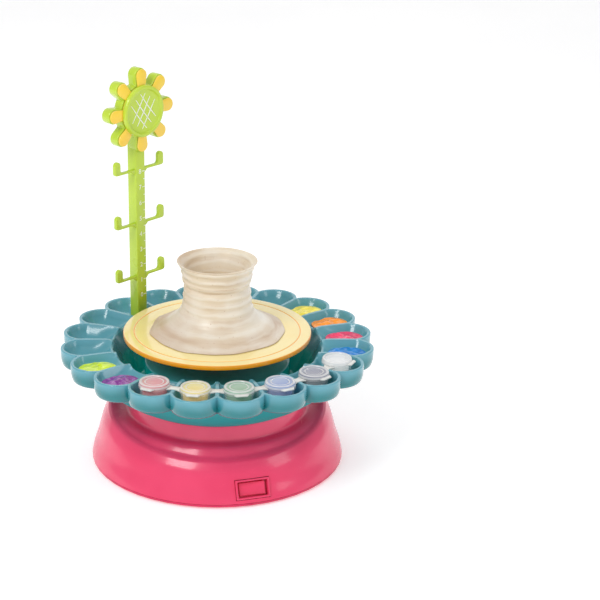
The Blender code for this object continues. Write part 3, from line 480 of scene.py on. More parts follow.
# ---------------------------------------------------------------- shader helpers
class Sheet:
    """Adds and links the nodes of one node tree."""

    def __init__(self, tree: bpy.types.NodeTree) -> None:
        """Keeps the tree."""
        self.tree = tree

    def add(self, kind: str, links: dict[str | int, object] | None = None, **settings: object) -> bpy.types.Node:
        """Adds a node.

        Args:
            kind: The node's type without its ShaderNode beginning.
            links: Input name or number to a value or to another node's output.
            settings: Properties of the node.

        Returns:
            The node.
        """
        node = self.tree.nodes.new("ShaderNode" + kind)
        for key, value in settings.items():
            setattr(node, key, value)
        for key, value in (links or {}).items():
            if isinstance(value, bpy.types.NodeSocket):
                self.tree.links.new(value, node.inputs[key])
            else:
                node.inputs[key].default_value = value
        return node

    def maths(self, operation: str, a: object, b: object = 0.0, c: object = 0.0) -> bpy.types.NodeSocket:
        """Adds a Math node and gives its result."""
        return self.add("Math", {0: a, 1: b, 2: c}, operation=operation).outputs[0]

    def span(self, value: bpy.types.NodeSocket, low: float, high: float, to_low: float = 0.0,
             to_high: float = 1.0) -> bpy.types.NodeSocket:
        """Maps a value smoothly from one span to another.

        Args:
            value: The value to map.
            low: Value that gives to_low.
            high: Value that gives to_high.
            to_low: Result at the low end.
            to_high: Result at the high end.

        Returns:
            The socket with the result.
        """
        made = self.add("MapRange", {"Value": value, "From Min": low, "From Max": high, "To Min": to_low,
                                     "To Max": to_high}, interpolation_type="SMOOTHSTEP")
        return made.outputs["Result"]

    def blend(self, share: object, one: object, other: object, kind: str = "MIX") -> bpy.types.NodeSocket:
        """Mixes two colours.

        Args:
            share: How much of the second colour shows.
            one: First colour.
            other: Second colour.
            kind: Kind of mix.

        Returns:
            The socket with the result.
        """
        node = self.tree.nodes.new("ShaderNodeMix")
        node.data_type = "RGBA"
        node.blend_type = kind
        for socket, value in ((node.inputs[0], share), (node.inputs[6], one), (node.inputs[7], other)):
            if isinstance(value, bpy.types.NodeSocket):
                self.tree.links.new(value, socket)
            elif isinstance(value, tuple):
                socket.default_value = (*value, 1.0)
            else:
                socket.default_value = value
        return node.outputs[2]

    def place(self, scale: Sequence[float] = (1.0, 1.0, 1.0), shift: Sequence[float] = (0.0, 0.0, 0.0),
              turn: Sequence[float] = (0.0, 0.0, 0.0)) -> bpy.types.NodeSocket:
        """Gives object coordinates through a Mapping node."""
        where = self.add("TexCoord").outputs["Object"]
        return self.add("Mapping", {"Vector": where, "Location": shift, "Rotation": turn, "Scale": scale}).outputs[0]

    def cloud(self, scale: float, detail: float = 3.0, vector: object = None, rough: float = 0.55,
              distortion: float = 0.0) -> bpy.types.NodeSocket:
        """Adds a noise texture and gives its factor.

        Args:
            scale: Number of clouds in a metre.
            detail: Number of finer layers.
            vector: Place to read; the object's own by default.
            rough: How strong the finer layers are.
            distortion: How much the clouds are stirred.

        Returns:
            The socket with the result.
        """
        where = vector if vector is not None else self.add("TexCoord").outputs["Object"]
        return self.add("TexNoise", {"Vector": where, "Scale": scale, "Detail": detail, "Roughness": rough,
                                     "Distortion": distortion}).outputs[0]


class Effect(Enum):
    """Shader groups that more than one finish uses."""

    GRAIN = "moulding_grain"
    WEAR = "edge_wear"
    RADIUS = "radius_bands"


def new_group(effect: Effect, inputs: dict[str, float], outputs: Sequence[str]) -> bpy.types.NodeTree:
    """Starts an effect's group with float inputs and outputs.

    Args:
        effect: The effect.
        inputs: Input names and their values.
        outputs: Output names.

    Returns:
        The group's node tree.
    """
    tree = bpy.data.node_groups.new(effect.value, "ShaderNodeTree")
    for name, value in inputs.items():
        tree.interface.new_socket(name, in_out="INPUT", socket_type="NodeSocketFloat").default_value = value
    for name in outputs:
        tree.interface.new_socket(name, in_out="OUTPUT", socket_type="NodeSocketFloat")
    return tree


def grain_group() -> bpy.types.NodeTree:
    """Cloudy shade, fine moulding grain and hairline scratches of a moulded surface.

    Returns:
        The group's node tree.
    """
    tree = new_group(Effect.GRAIN, {"Gloss": 0.25, "Grain": 1.0, "Scratches": 0.5}, ("Shade", "Roughness", "Height"))
    sheet = Sheet(tree)
    given = tree.nodes.new("NodeGroupInput")
    clouds = sheet.cloud(34.0, 2.0)
    grain = sheet.cloud(2600.0, 2.0)
    long_one = sheet.cloud(10.0, 2.0, sheet.place((4.0, 240.0, 260.0), turn=(0.3, 0.5, 0.2)), 0.5)
    long_two = sheet.cloud(10.0, 2.0, sheet.place((230.0, 5.0, 260.0), turn=(0.1, -0.4, 0.7)), 0.5)
    hair = sheet.maths("MAXIMUM", sheet.span(long_one, 0.68, 0.76), sheet.span(long_two, 0.69, 0.77))
    hair = sheet.maths("MULTIPLY", hair, given.outputs["Scratches"])
    patch = sheet.maths("MULTIPLY", sheet.span(clouds, 0.35, 0.7), 0.06)
    rough = sheet.maths("ADD", given.outputs["Gloss"], patch)
    rough = sheet.maths("MULTIPLY_ADD", hair, 0.16, rough)
    height = sheet.maths("MULTIPLY", grain, given.outputs["Grain"])
    height = sheet.maths("MULTIPLY_ADD", hair, -0.5, height)
    out = tree.nodes.new("NodeGroupOutput")
    for name, socket in (("Shade", clouds), ("Roughness", rough), ("Height", height)):
        tree.links.new(socket, out.inputs[name])
    return tree


def wear_group() -> bpy.types.NodeTree:
    """Mask of sharp edges: rubbed wear on moulded plastic, and a painted highlight on clear plastic.

    Returns:
        The group's node tree.
    """
    tree = new_group(Effect.WEAR, {"Amount": 0.5}, ("Mask",))
    sheet = Sheet(tree)
    given = tree.nodes.new("NodeGroupInput")
    ridge = sheet.span(sheet.add("NewGeometry").outputs["Pointiness"], 0.55, 0.66)
    broken = sheet.span(sheet.cloud(420.0, 4.0), 0.35, 0.65)
    mask = sheet.maths("MULTIPLY", sheet.maths("MULTIPLY", ridge, broken), given.outputs["Amount"])
    out = tree.nodes.new("NodeGroupOutput")
    tree.links.new(mask, out.inputs["Mask"])
    return tree


def radius_group() -> bpy.types.NodeTree:
    """Mask of a round band at a distance from the wheel's axis.

    Returns:
        The group's node tree.
    """
    tree = new_group(Effect.RADIUS, {"Radius": 0.05, "Half Width": 0.0006, "Softness": 0.0002}, ("Mask",))
    sheet = Sheet(tree)
    given = tree.nodes.new("NodeGroupInput")
    where = sheet.add("SeparateXYZ", {0: sheet.add("TexCoord").outputs["Object"]})
    flat = sheet.add("CombineXYZ", {0: where.outputs[0], 1: where.outputs[1]})
    radius = sheet.add("VectorMath", {0: flat.outputs[0]}, operation="LENGTH").outputs["Value"]
    off = sheet.maths("ABSOLUTE", sheet.maths("SUBTRACT", radius, given.outputs["Radius"]))
    inside = sheet.maths("SUBTRACT", given.outputs["Half Width"], off)
    mask = sheet.add("Clamp", {0: sheet.maths("DIVIDE", inside, given.outputs["Softness"])}).outputs[0]
    out = tree.nodes.new("NodeGroupOutput")
    tree.links.new(mask, out.inputs["Mask"])
    return tree


BUILDERS: dict[Effect, Callable[[], bpy.types.NodeTree]] = {
    Effect.GRAIN: grain_group,
    Effect.WEAR: wear_group,
    Effect.RADIUS: radius_group,
}


def effect(sheet: Sheet, kind: Effect, **values: float) -> bpy.types.Node:
    """Places an effect's group in a material, with its own values.

    Args:
        sheet: The material's node tree.
        kind: The effect.
        values: Input values; an underscore stands for a space.

    Returns:
        The group node.
    """
    tree = bpy.data.node_groups.get(kind.value) or BUILDERS[kind]()
    node = sheet.tree.nodes.new("ShaderNodeGroup")
    node.node_tree = tree
    for name, value in values.items():
        node.inputs[name.replace("_", " ")].default_value = value
    return node


# ---------------------------------------------------------------- finishes
@dataclass(frozen=True)
class Finish:
    """A surface finish; its material is made once, when a piece first needs it."""

    name: str
    colour: Colour
    roughness: float = 0.3

    def material(self) -> bpy.types.Material:
        """Gives the finish's material.

        Returns:
            The material.
        """
        title = f"{self.name}_finish"
        made = bpy.data.materials.get(title)
        if made is None:
            made = bpy.data.materials.new(title)
            made.use_nodes = True
            made.diffuse_color = (*self.colour, 1.0)
            sheet = Sheet(made.node_tree)
            self.dress_shader(sheet, made.node_tree.nodes["Principled BSDF"])
        return made

    def dress_shader(self, sheet: Sheet, shader: bpy.types.Node) -> None:
        """Links the finish's pattern to the shader."""
        raise NotImplementedError

    def bump(self, sheet: Sheet, shader: bpy.types.Node, height: bpy.types.NodeSocket, distance: float,
             strength: float = 1.0) -> None:
        """Links a height to the shader's normal."""
        node = sheet.add("Bump", {"Strength": strength, "Distance": distance, "Height": height})
        sheet.tree.links.new(node.outputs[0], shader.inputs["Normal"])


@dataclass(frozen=True)
class MouldedPlastic(Finish):
    """Glossy moulded plastic with clouds of shade, fine grain, hairline scratches and rubbed edges; given a height
    span, it also has painted shade lower down, painted light on upward faces and a painted lighter colour below a set
    height.
    """

    deep: Colour = (0.0, 0.0, 0.0)
    edge: Colour = (1.0, 1.0, 1.0)
    coat: float = 0.5
    grain: float = 0.6
    wear: float = 0.35
    shine: float = 0.5
    # Heights over which the colour goes from the painted shade colour to the lit colour.
    low: float = 0.0
    high: float = 0.0
    # Colour painted below a height to lighten the shade in the basin, and that height.
    pit: Colour = (0.0, 0.0, 0.0)
    pit_z: float = 0.0

    def paint(self, sheet: Sheet, shade: bpy.types.NodeSocket) -> bpy.types.NodeSocket:
        """Gives the colour before wear, with painted shade and painted light when a height span is given.

        Args:
            sheet: The material's node tree.
            shade: Cloudy shade from the grain group, from 0 to 1.

        Returns:
            The socket with the colour.
        """
        # Painted light and shade: darker low in the height span, lighter on upward faces, and lighter again below the
        # basin height.
        if self.high > self.low:
            where = sheet.add("TexCoord")
            height = sheet.add("SeparateXYZ", {0: where.outputs["Object"]}).outputs[2]
            wavy = sheet.maths("MULTIPLY_ADD", sheet.maths("SUBTRACT", shade, 0.5), 0.006, height)
            painted_top_light = sheet.span(sheet.add("SeparateXYZ", {0: where.outputs["Normal"]}).outputs[2], 0.1, 0.7, 0.0, 0.75)
            lit = sheet.maths("MAXIMUM", sheet.span(wavy, self.low, self.high), painted_top_light)
            colour = sheet.blend(lit, self.deep, self.colour)
            return sheet.blend(sheet.span(height, self.pit_z, self.pit_z - 0.004), colour, self.pit)
        return sheet.blend(sheet.span(shade, 0.3, 0.7, 0.0, 0.6), self.colour, self.deep)

    def dress_shader(self, sheet: Sheet, shader: bpy.types.Node) -> None:
        """Links the finish's pattern to the shader.

        Args:
            sheet: The material's node tree.
            shader: The material's shader.
        """
        grain = effect(sheet, Effect.GRAIN, Gloss=self.roughness, Grain=self.grain, Scratches=0.5)
        worn_and_highlit_edge = effect(sheet, Effect.WEAR, Amount=self.wear)
        colour = sheet.blend(worn_and_highlit_edge.outputs["Mask"], self.paint(sheet, grain.outputs["Shade"]), self.edge)
        sheet.tree.links.new(colour, shader.inputs["Base Color"])
        rough = sheet.maths("MULTIPLY_ADD", worn_and_highlit_edge.outputs["Mask"], 0.2, grain.outputs["Roughness"])
        sheet.tree.links.new(rough, shader.inputs["Roughness"])
        self.bump(sheet, shader, grain.outputs["Height"], MICRO_RELIEF)
        shader.inputs["Specular IOR Level"].default_value = self.shine
        shader.inputs["Coat Weight"].default_value = self.coat
        shader.inputs["Coat Roughness"].default_value = 0.06


@dataclass(frozen=True)
class BandedPlastic(MouldedPlastic):
    """Moulded plastic for the turntable, with painted shade in its ring grooves and on its rim, in an orange band
    colour.
    """

    band: Colour = (1.0, 0.4, 0.0)
    rings: tuple[tuple[float, float], ...] = ()
    rim: float = 0.1

    def paint(self, sheet: Sheet, shade: bpy.types.NodeSocket) -> bpy.types.NodeSocket:
        """Gives the colour before wear, with painted shade on the grooves and the rim.

        Args:
            sheet: The material's node tree.
            shade: Cloudy shade from the grain group, from 0 to 1.

        Returns:
            The socket with the colour.
        """
        colour = sheet.blend(sheet.span(shade, 0.3, 0.7, 0.0, 0.5), self.colour, self.deep)
        # Painted shade: each groove darkens towards the band colour.
        for radius, half in self.rings:
            ring = effect(sheet, Effect.RADIUS, Radius=radius, Half_Width=half, Softness=0.00025)
            colour = sheet.blend(sheet.maths("MULTIPLY", ring.outputs[0], 0.9), colour, self.band)
        # Painted shade: the outer edge of the disc and its side take the band colour.
        ring = effect(sheet, Effect.RADIUS, Radius=self.rim + 0.01, Half_Width=0.01, Softness=0.0003)
        return sheet.blend(ring.outputs[0], colour, self.band)


@dataclass(frozen=True)
class ClearPlastic(Finish):
    """Clear or tinted thin plastic with fine scratches and a slight haze, with white painted highlights on its sharp
    edges and on a lid's raised rings.
    """

    haze: float = 0.3
    # Heights between which a lid keeps its tint; above and below them it is painted white as a highlight.
    disc: tuple[float, float] = (0.0, 0.0)

    def dress_shader(self, sheet: Sheet, shader: bpy.types.Node) -> None:
        """Links the finish's pattern to the shader.

        Args:
            sheet: The material's node tree.
            shader: The material's shader.
        """
        grain = effect(sheet, Effect.GRAIN, Gloss=self.roughness, Grain=0.4, Scratches=0.6)
        pale = tuple(mix(c, 1.0, 0.35) for c in self.colour)
        colour = sheet.blend(sheet.span(grain.outputs["Shade"], 0.35, 0.7), self.colour, pale)
        # Painted highlight: outside the tinted heights the lid turns near white, standing in for reflections on its
        # rings.
        if self.disc[1] > self.disc[0]:
            height = sheet.add("SeparateXYZ", {0: sheet.add("TexCoord").outputs["Object"]}).outputs[2]
            rim = sheet.maths("MAXIMUM", sheet.span(height, self.disc[0], self.disc[0] - 0.0002),
                              sheet.span(height, self.disc[1], self.disc[1] + 0.0002))
            colour = sheet.blend(sheet.maths("MULTIPLY", rim, 0.85), colour, (0.97, 0.97, 0.97))
        # Painted highlight: sharp edges turn white and more opaque, standing in for glints on the clear plastic.
        worn_and_highlit_edge = effect(sheet, Effect.WEAR, Amount=1.0)
        colour = sheet.blend(worn_and_highlit_edge.outputs["Mask"], colour, (1.0, 1.0, 1.0))
        solid = sheet.span(worn_and_highlit_edge.outputs["Mask"], 0.0, 0.8, self.haze, min(1.0, self.haze + 0.45))
        sheet.tree.links.new(solid, shader.inputs["Alpha"])
        sheet.tree.links.new(colour, shader.inputs["Base Color"])
        sheet.tree.links.new(grain.outputs["Roughness"], shader.inputs["Roughness"])
        self.bump(sheet, shader, grain.outputs["Height"], MICRO_RELIEF)
        shader.inputs["Coat Weight"].default_value = 0.8
        shader.inputs["Coat Roughness"].default_value = 0.04


@dataclass(frozen=True)
class WetClay(Finish):
    """Thrown clay: finger rings, slip smears, specks, a damp sheen and painted shade on its left side."""

    dark: Colour = (0.3, 0.2, 0.1)
    pale: Colour = (0.9, 0.9, 0.9)

    def dress_shader(self, sheet: Sheet, shader: bpy.types.Node) -> None:
        """Links the finish's pattern to the shader.

        Args:
            sheet: The material's node tree.
            shader: The material's shader.
        """
        streak = sheet.cloud(26.0, 5.0, sheet.place((1.0, 1.0, 14.0)), 0.6, 0.3)
        patch = sheet.cloud(24.0, 3.0)
        rings = sheet.add("TexWave", {"Vector": sheet.place((1.0, 1.0, 1.0)), "Scale": 62.0, "Distortion": 2.2,
                                      "Detail": 3.0, "Detail Scale": 1.4}, bands_direction="Z").outputs["Fac"]
        colour = sheet.blend(sheet.span(streak, 0.28, 0.56, 0.62, 1.0), self.dark, self.colour)
        colour = sheet.blend(sheet.span(patch, 0.40, 0.66, 0.0, 0.8), colour, self.pale)
        colour = sheet.blend(sheet.maths("MULTIPLY", sheet.span(rings, 0.55, 1.0), 0.35), colour, self.pale)
        # Painted shade: the clay darkens towards its left side.
        side = sheet.add("SeparateXYZ", {0: sheet.place()})
        left_painted_shade = sheet.span(side.outputs[0], -0.006, -0.034)
        colour = sheet.blend(sheet.maths("MULTIPLY", left_painted_shade, 0.45), colour, self.dark)
        foot = sheet.span(side.outputs[2], 0.0895, 0.0845)
        colour = sheet.blend(sheet.maths("MULTIPLY", foot, sheet.span(streak, 0.35, 0.65, 0.1, 0.6)), colour, self.dark)
        specks = sheet.span(sheet.cloud(900.0, 1.0), 0.72, 0.78)
        colour = sheet.blend(sheet.maths("MULTIPLY", specks, 0.7), colour, self.dark)
        sheet.tree.links.new(colour, shader.inputs["Base Color"])
        rough = sheet.span(patch, 0.3, 0.7, self.roughness + 0.12, self.roughness - 0.08)
        sheet.tree.links.new(rough, shader.inputs["Roughness"])
        fine = sheet.maths("MULTIPLY_ADD", sheet.cloud(700.0, 3.0), 0.25, sheet.maths("MULTIPLY", rings, 0.6))
        self.bump(sheet, shader, sheet.maths("MULTIPLY_ADD", streak, 0.5, fine), 0.00016)
        shader.inputs["Coat Weight"].default_value = 0.18
        shader.inputs["Coat Roughness"].default_value = 0.3


@dataclass(frozen=True)
class WetPaint(Finish):
    """Thick glossy paint with stirred swirls and a painted glow in its own colour."""

    swirl: float = 0.3
    # Strength of the painted glow, an emission that lightens the paint though it is no lamp.
    glow: float = 0.2

    def dress_shader(self, sheet: Sheet, shader: bpy.types.Node) -> None:
        """Links the finish's pattern to the shader.

        Args:
            sheet: The material's node tree.
            shader: The material's shader.
        """
        stir = sheet.cloud(120.0, 0.0, rough=0.35, distortion=1.2)
        deep = tuple(c * 0.80 for c in self.colour)
        pale = tuple(mix(c, 1.0, 0.30) for c in self.colour)
        colour = sheet.blend(sheet.span(stir, 0.30, 0.52), deep, self.colour)
        colour = sheet.blend(sheet.maths("MULTIPLY", sheet.span(stir, 0.56, 0.70), self.swirl), colour, pale)
        sheet.tree.links.new(colour, shader.inputs["Base Color"])
        sheet.tree.links.new(sheet.span(stir, 0.3, 0.7, self.roughness, self.roughness + 0.12),
                             shader.inputs["Roughness"])
        self.bump(sheet, shader, stir, 0.0005, 0.7)
        # Painted light: the paint glows in its own colour to lighten the shade it sits in.
        shader.inputs["Emission Color"].default_value = (*self.colour, 1.0)
        shader.inputs["Emission Strength"].default_value = self.glow
        shader.inputs["Coat Weight"].default_value = 0.5
        shader.inputs["Coat Roughness"].default_value = 0.05


@dataclass(frozen=True)
class BareMetal(Finish):
    """Drawn steel with fine lines and dull spots."""

    def dress_shader(self, sheet: Sheet, shader: bpy.types.Node) -> None:
        """Links the finish's pattern to the shader.

        Args:
            sheet: The material's node tree.
            shader: The material's shader.
        """
        lines = sheet.cloud(240.0, 4.0, sheet.place((1.0, 1.0, 22.0)), 0.6)
        spots = sheet.cloud(160.0, 4.0)
        dull = tuple(c * 0.72 for c in self.colour)
        colour = sheet.blend(sheet.span(spots, 0.5, 0.7), self.colour, dull)
        sheet.tree.links.new(colour, shader.inputs["Base Color"])
        rough = sheet.maths("MULTIPLY_ADD", sheet.span(spots, 0.4, 0.7), 0.2, self.roughness)
        sheet.tree.links.new(rough, shader.inputs["Roughness"])
        self.bump(sheet, shader, lines, 0.00003)
        shader.inputs["Metallic"].default_value = 1.0


@dataclass(frozen=True)
class SoftRubber(Finish):
    """Matt rubber with a powdery bloom."""

    def dress_shader(self, sheet: Sheet, shader: bpy.types.Node) -> None:
        """Links the finish's pattern to the shader.

        Args:
            sheet: The material's node tree.
            shader: The material's shader.
        """
        bloom = sheet.cloud(300.0, 5.0)
        pale = tuple(mix(c, 0.3, 0.4) for c in self.colour)
        colour = sheet.blend(sheet.span(bloom, 0.4, 0.7), self.colour, pale)
        sheet.tree.links.new(colour, shader.inputs["Base Color"])
        rough = sheet.span(bloom, 0.3, 0.7, self.roughness - 0.1, self.roughness)
        sheet.tree.links.new(rough, shader.inputs["Roughness"])
        self.bump(sheet, shader, sheet.cloud(1800.0, 2.0), 0.00005)


@dataclass(frozen=True)
class CellWrap(Finish):
    """Printed film of a battery cell: a dark body and a copper band near one end."""

    band: Colour = (0.6, 0.3, 0.1)

    def dress_shader(self, sheet: Sheet, shader: bpy.types.Node) -> None:
        """Links the finish's pattern to the shader.

        Args:
            sheet: The material's node tree.
            shader: The material's shader.
        """
        along = sheet.add("SeparateXYZ", {0: sheet.place()}).outputs[1]
        far = sheet.span(sheet.maths("ABSOLUTE", sheet.maths("SUBTRACT", along, 0.025)), 0.0085, 0.0090)
        grain = effect(sheet, Effect.GRAIN, Gloss=self.roughness, Grain=0.3, Scratches=0.8)
        colour = sheet.blend(far, self.band, self.colour)
        colour = sheet.blend(sheet.span(grain.outputs["Shade"], 0.4, 0.7, 0.0, 0.2), colour, (0.2, 0.2, 0.2))
        sheet.tree.links.new(colour, shader.inputs["Base Color"])
        sheet.tree.links.new(grain.outputs["Roughness"], shader.inputs["Roughness"])
        self.bump(sheet, shader, grain.outputs["Height"], MICRO_RELIEF)
        shader.inputs["Coat Weight"].default_value = 0.4


PINK = MouldedPlastic("pink_shell", srgb(246, 72, 114), 0.20, deep=srgb(238, 58, 102), edge=srgb(250, 150, 172),
                      coat=0.3, shine=0.4)
MAGENTA = MouldedPlastic("magenta_cover", srgb(222, 0, 84), 0.3, deep=srgb(200, 0, 70), edge=srgb(240, 60, 130))
# The teal's main colour is painted pale like its lit tops; its darker colour is painted shade lower down, and its basin
# colour is painted light against the basin's shade.
TEAL = MouldedPlastic("teal_tray", srgb(98, 168, 184), 0.20, deep=srgb(0, 122, 128), edge=srgb(205, 232, 240),
                      low=0.0672, high=0.0762, pit=srgb(0, 190, 182), pit_z=0.0648)
TEAL_SKIRT = MouldedPlastic("teal_skirt", srgb(0, 150, 152), 0.5, deep=srgb(0, 140, 144), edge=srgb(110, 200, 205),
                            coat=0.0, shine=0.2)
# The band colour is painted shade in the turntable's grooves and on its rim.
CREAM = BandedPlastic("cream_turntable", srgb(255, 236, 166), 0.14, deep=srgb(255, 226, 140),
                      edge=srgb(255, 196, 70), band=srgb(255, 166, 8),
                      rings=((0.0502, 0.00045), (0.0366, 0.0004)), rim=0.0563, coat=0.6)
ORANGE = MouldedPlastic("orange_hub", srgb(252, 140, 14), 0.25, deep=srgb(236, 116, 6), edge=srgb(255, 190, 90))
LIME = MouldedPlastic("lime_post", srgb(196, 222, 60), 0.24, deep=srgb(184, 214, 50), edge=srgb(222, 238, 130))
GOLD = MouldedPlastic("golden_petals", srgb(255, 218, 62), 0.28, deep=srgb(255, 206, 48), edge=srgb(255, 236, 140))
WHITE = MouldedPlastic("white_plastic", srgb(236, 236, 232), 0.35, deep=srgb(220, 220, 214), edge=srgb(250, 250, 250))
PRINT = MouldedPlastic("white_print", srgb(250, 252, 246), 0.5, deep=srgb(232, 240, 214), edge=srgb(255, 255, 255),
                       coat=0.0)
BLACK = MouldedPlastic("black_plastic", srgb(34, 34, 36), 0.4, deep=srgb(24, 24, 26), edge=srgb(80, 80, 84))
STEEL = BareMetal("steel", srgb(196, 198, 202), 0.28)
RUBBER = SoftRubber("rubber", srgb(36, 36, 38), 0.85)
CELL = CellWrap("battery_wrap", srgb(26, 26, 30), 0.3, band=srgb(200, 120, 60))
CLAY = WetClay("wet_clay", srgb(233, 217, 192), 0.40, dark=srgb(186, 146, 110), pale=srgb(250, 245, 234))
CLEAR = ClearPlastic("clear_pot", srgb(248, 250, 252), 0.08, haze=0.30)


class Paint(Enum):
    """Loose paints in the wells: name, azimuth and colour."""

    LIME = ("lime", -63.0, srgb(196, 222, 0))
    PURPLE = ("purple", -45.0, srgb(128, 38, 142))
    BLUE = ("blue", 81.0, srgb(0, 122, 205))
    PINK = ("pink", 99.0, srgb(240, 50, 100))
    ORANGE = ("orange", 117.0, srgb(255, 148, 0))
    YELLOW = ("yellow", 135.0, srgb(255, 236, 84))


class Pot(Enum):
    """Paint pots: number, azimuth, colour of the paint and colour of the lid."""

    RED = (1, -27.0, srgb(196, 20, 20), srgb(232, 120, 132))
    YELLOW = (2, -9.0, srgb(232, 192, 10), srgb(252, 242, 160))
    GREEN = (3, 9.0, srgb(16, 130, 40), srgb(120, 190, 150))
    BLUE = (4, 27.0, srgb(14, 44, 150), srgb(140, 170, 226))
    BLACK = (5, 45.0, srgb(24, 20, 40), srgb(150, 152, 176))
    WHITE = (6, 63.0, srgb(240, 240, 236), srgb(244, 246, 250))


class Side(Enum):
    """The two sides of the post."""

    LEFT = -1.0
    RIGHT = 1.0


# ---------------------------------------------------------------- housing
@dataclass
class Housing:
    """The pink housing that the wheel stands on, with its cover and switch."""

    bottom_r: float = 0.0773
    bottom_z: float = 0.0029
    wall: float = 0.0022
    pedestal_r: float = 0.0544
    pedestal_top: float = 0.0430
    ledge_z: float = 0.0324
    crest_r: float = 0.0646
    crest_z: float = 0.0345
    crest_tilt: float = 0.0085
    hole_r: float = 0.0083
    switch_az: float = 16.3
    switch_size: tuple[float, float, float] = (0.0205, 0.0055, 0.0116)
    switch_z: float = 0.0106
    proud: float = 0.0004
    steps: int = 240

    def crest(self, azimuth: float) -> float:
        """Gives the height of the shoulder's crest, which is lower at the front."""
        return self.crest_z - self.crest_tilt * math.cos(math.radians(azimuth))

    def side(self, azimuth: float) -> Profile:
        """Gives the corners of the outer side from the crest down.

        Args:
            azimuth: Angle round the wheel's axis, in degrees.

        Returns:
            Points of radius and height, in order.
        """
        crest, span = self.crest(azimuth), self.bottom_r - self.crest_r
        shares = ((0.17, crest - 0.0009), (0.42, 0.80 * crest), (0.57, 0.63 * crest), (0.72, 0.43 * crest),
                  (0.90, 0.24 * crest), (1.0, self.bottom_z))
        return [(self.crest_r + share * span, z) for share, z in shares]

    def section(self, azimuth: float) -> Profile:
        """Gives the shell's outer and inner surface at an azimuth.

        Args:
            azimuth: Angle round the wheel's axis, in degrees.

        Returns:
            Points of radius and height, in order.
        """
        crest, wall = self.crest(azimuth), self.wall
        rise, span = crest - self.ledge_z, self.bottom_r - self.crest_r
        top = rounded([
            (self.hole_r, self.pedestal_top), (self.pedestal_r, self.pedestal_top, 0.0014),
            (self.pedestal_r, self.ledge_z, 0.0018), (self.pedestal_r + 0.0054, self.ledge_z + 0.08 * rise, 0.0022),
            (self.crest_r - 0.0014, self.ledge_z + 0.86 * rise, 0.0012), (self.crest_r + 0.0004, crest, 0.0008),
            self.side(azimuth)[0],
        ], 5)
        outer = curve_through(self.side(azimuth), 5)
        inner = [
            (self.bottom_r - wall, self.bottom_z), (self.crest_r + 0.90 * span - wall, 0.24 * crest - 0.0004),
            (self.crest_r + 0.40 * span - wall, 0.74 * crest - 0.0006), (self.crest_r - 0.0010, crest - 1.35 * wall),
            (self.pedestal_r + 0.0044, self.ledge_z + 0.06 * rise - 1.1 * wall),
            (self.pedestal_r - wall, self.ledge_z - wall), (self.pedestal_r - wall, self.pedestal_top - wall),
            (self.hole_r, self.pedestal_top - wall),
        ]
        return top[:-1] + outer + inner

    def side_radius(self, z: float) -> float:
        """Gives the outer side's radius behind the switch at a height.

        Args:
            z: Height.

        Returns:
            The radius.
        """
        corners = self.side(self.switch_az)
        for (high_r, high_z), (low_r, low_z) in zip(corners, corners[1:]):
            if z >= low_z:
                return mix(low_r, high_r, (z - low_z) / (high_z - low_z))
        return self.bottom_r

    def switch_matrix(self) -> Matrix:
        """Gives the switch's frame: x along the wall, y inwards, z up the lean.

        Returns:
            The frame.
        """
        half = self.switch_size[2] / 2
        low, high = self.side_radius(self.switch_z - half), self.side_radius(self.switch_z + half)
        lean = math.atan2(low - high, 2 * half)
        where = polar(self.switch_az, self.side_radius(self.switch_z) + self.proud, self.switch_z)
        turn = Matrix.Rotation(math.radians(self.switch_az), 4, "Z")
        return Matrix.Translation(where) @ turn @ Matrix.Rotation(-lean, 4, "X")

    def build_shell(self) -> None:
        """Makes the pink shell with its switch window."""
        shell = turned("housing_shell", self.section, self.steps)
        half, tall = self.switch_size[0] / 2 + 0.0003, self.switch_size[2] / 2 + 0.0003
        window = block("window", (-half, -0.010, -tall), (half, self.switch_size[1] + 0.0004, tall))
        cut(shell, place(window, self.switch_matrix()))
        show(shell, PINK, "base", ["base_shell"], angle=32.0)

    def build_cover_rim(self) -> None:
        """Makes the saturated cover under the shell, with its rounded edge."""
        cover = softened_copy("bottom_cover", "cover_plate", 0.0002)
        show(cover, MAGENTA, "base", ["bottom_cover"])

    def build_switch(self) -> None:
        """Makes the switch's sunk frame and its rocker."""
        wide, deep, tall = self.switch_size
        frame_piece = block("switch_frame", (-wide / 2, -0.0004, -tall / 2), (wide / 2, deep, tall / 2))
        sink_face(frame_piece, (0.0, -1.0, 0.0), 0.0011, deep - 0.0008)
        round_edges(frame_piece, 0.0003)
        show(place(frame_piece, self.switch_matrix()), PINK, "base", ["switch_bezel"])
        rocker = softened_copy("switch_rocker", "rocker_cap", 0.0003)
        show(rocker, PINK, "switch_rocker", ["switch_rocker"])

    def build(self) -> None:
        """Makes the whole housing."""
        self.build_shell()
        self.build_cover_rim()
        self.build_switch()
        door = softened_copy("battery_door", "door_panel", 0.0002)
        show(door, MAGENTA, "battery_door", ["battery_door"])
        dress([f"rubber_foot_{i}" for i in range(1, 5)], RUBBER)
        dress([f"cover_screw_{i}" for i in range(1, 5)], STEEL)


# ---------------------------------------------------------------- drive
@dataclass
class Drive:
    """Motor, gears, batteries and contacts inside the housing."""

    white: tuple[str, ...] = ("gearbox_plate", "output_gear", "compound_gear", "motor_pinion", "spindle_bush")
    steel: tuple[str, ...] = ("motor", "motor_shaft", "gear_axle", "spindle", "contact_plate_front",
                              "contact_plate_back", "plate_screw_1", "plate_screw_2", "plate_screw_3")

    def build(self) -> None:
        """Gives the inner parts their finishes."""
        dress(self.white, WHITE)
        dress(self.steel, STEEL)
        dress([f"battery_{i}" for i in range(1, 5)], CELL)
        dress(["switch_housing"], BLACK)
        dress(["drive_hub"], ORANGE)


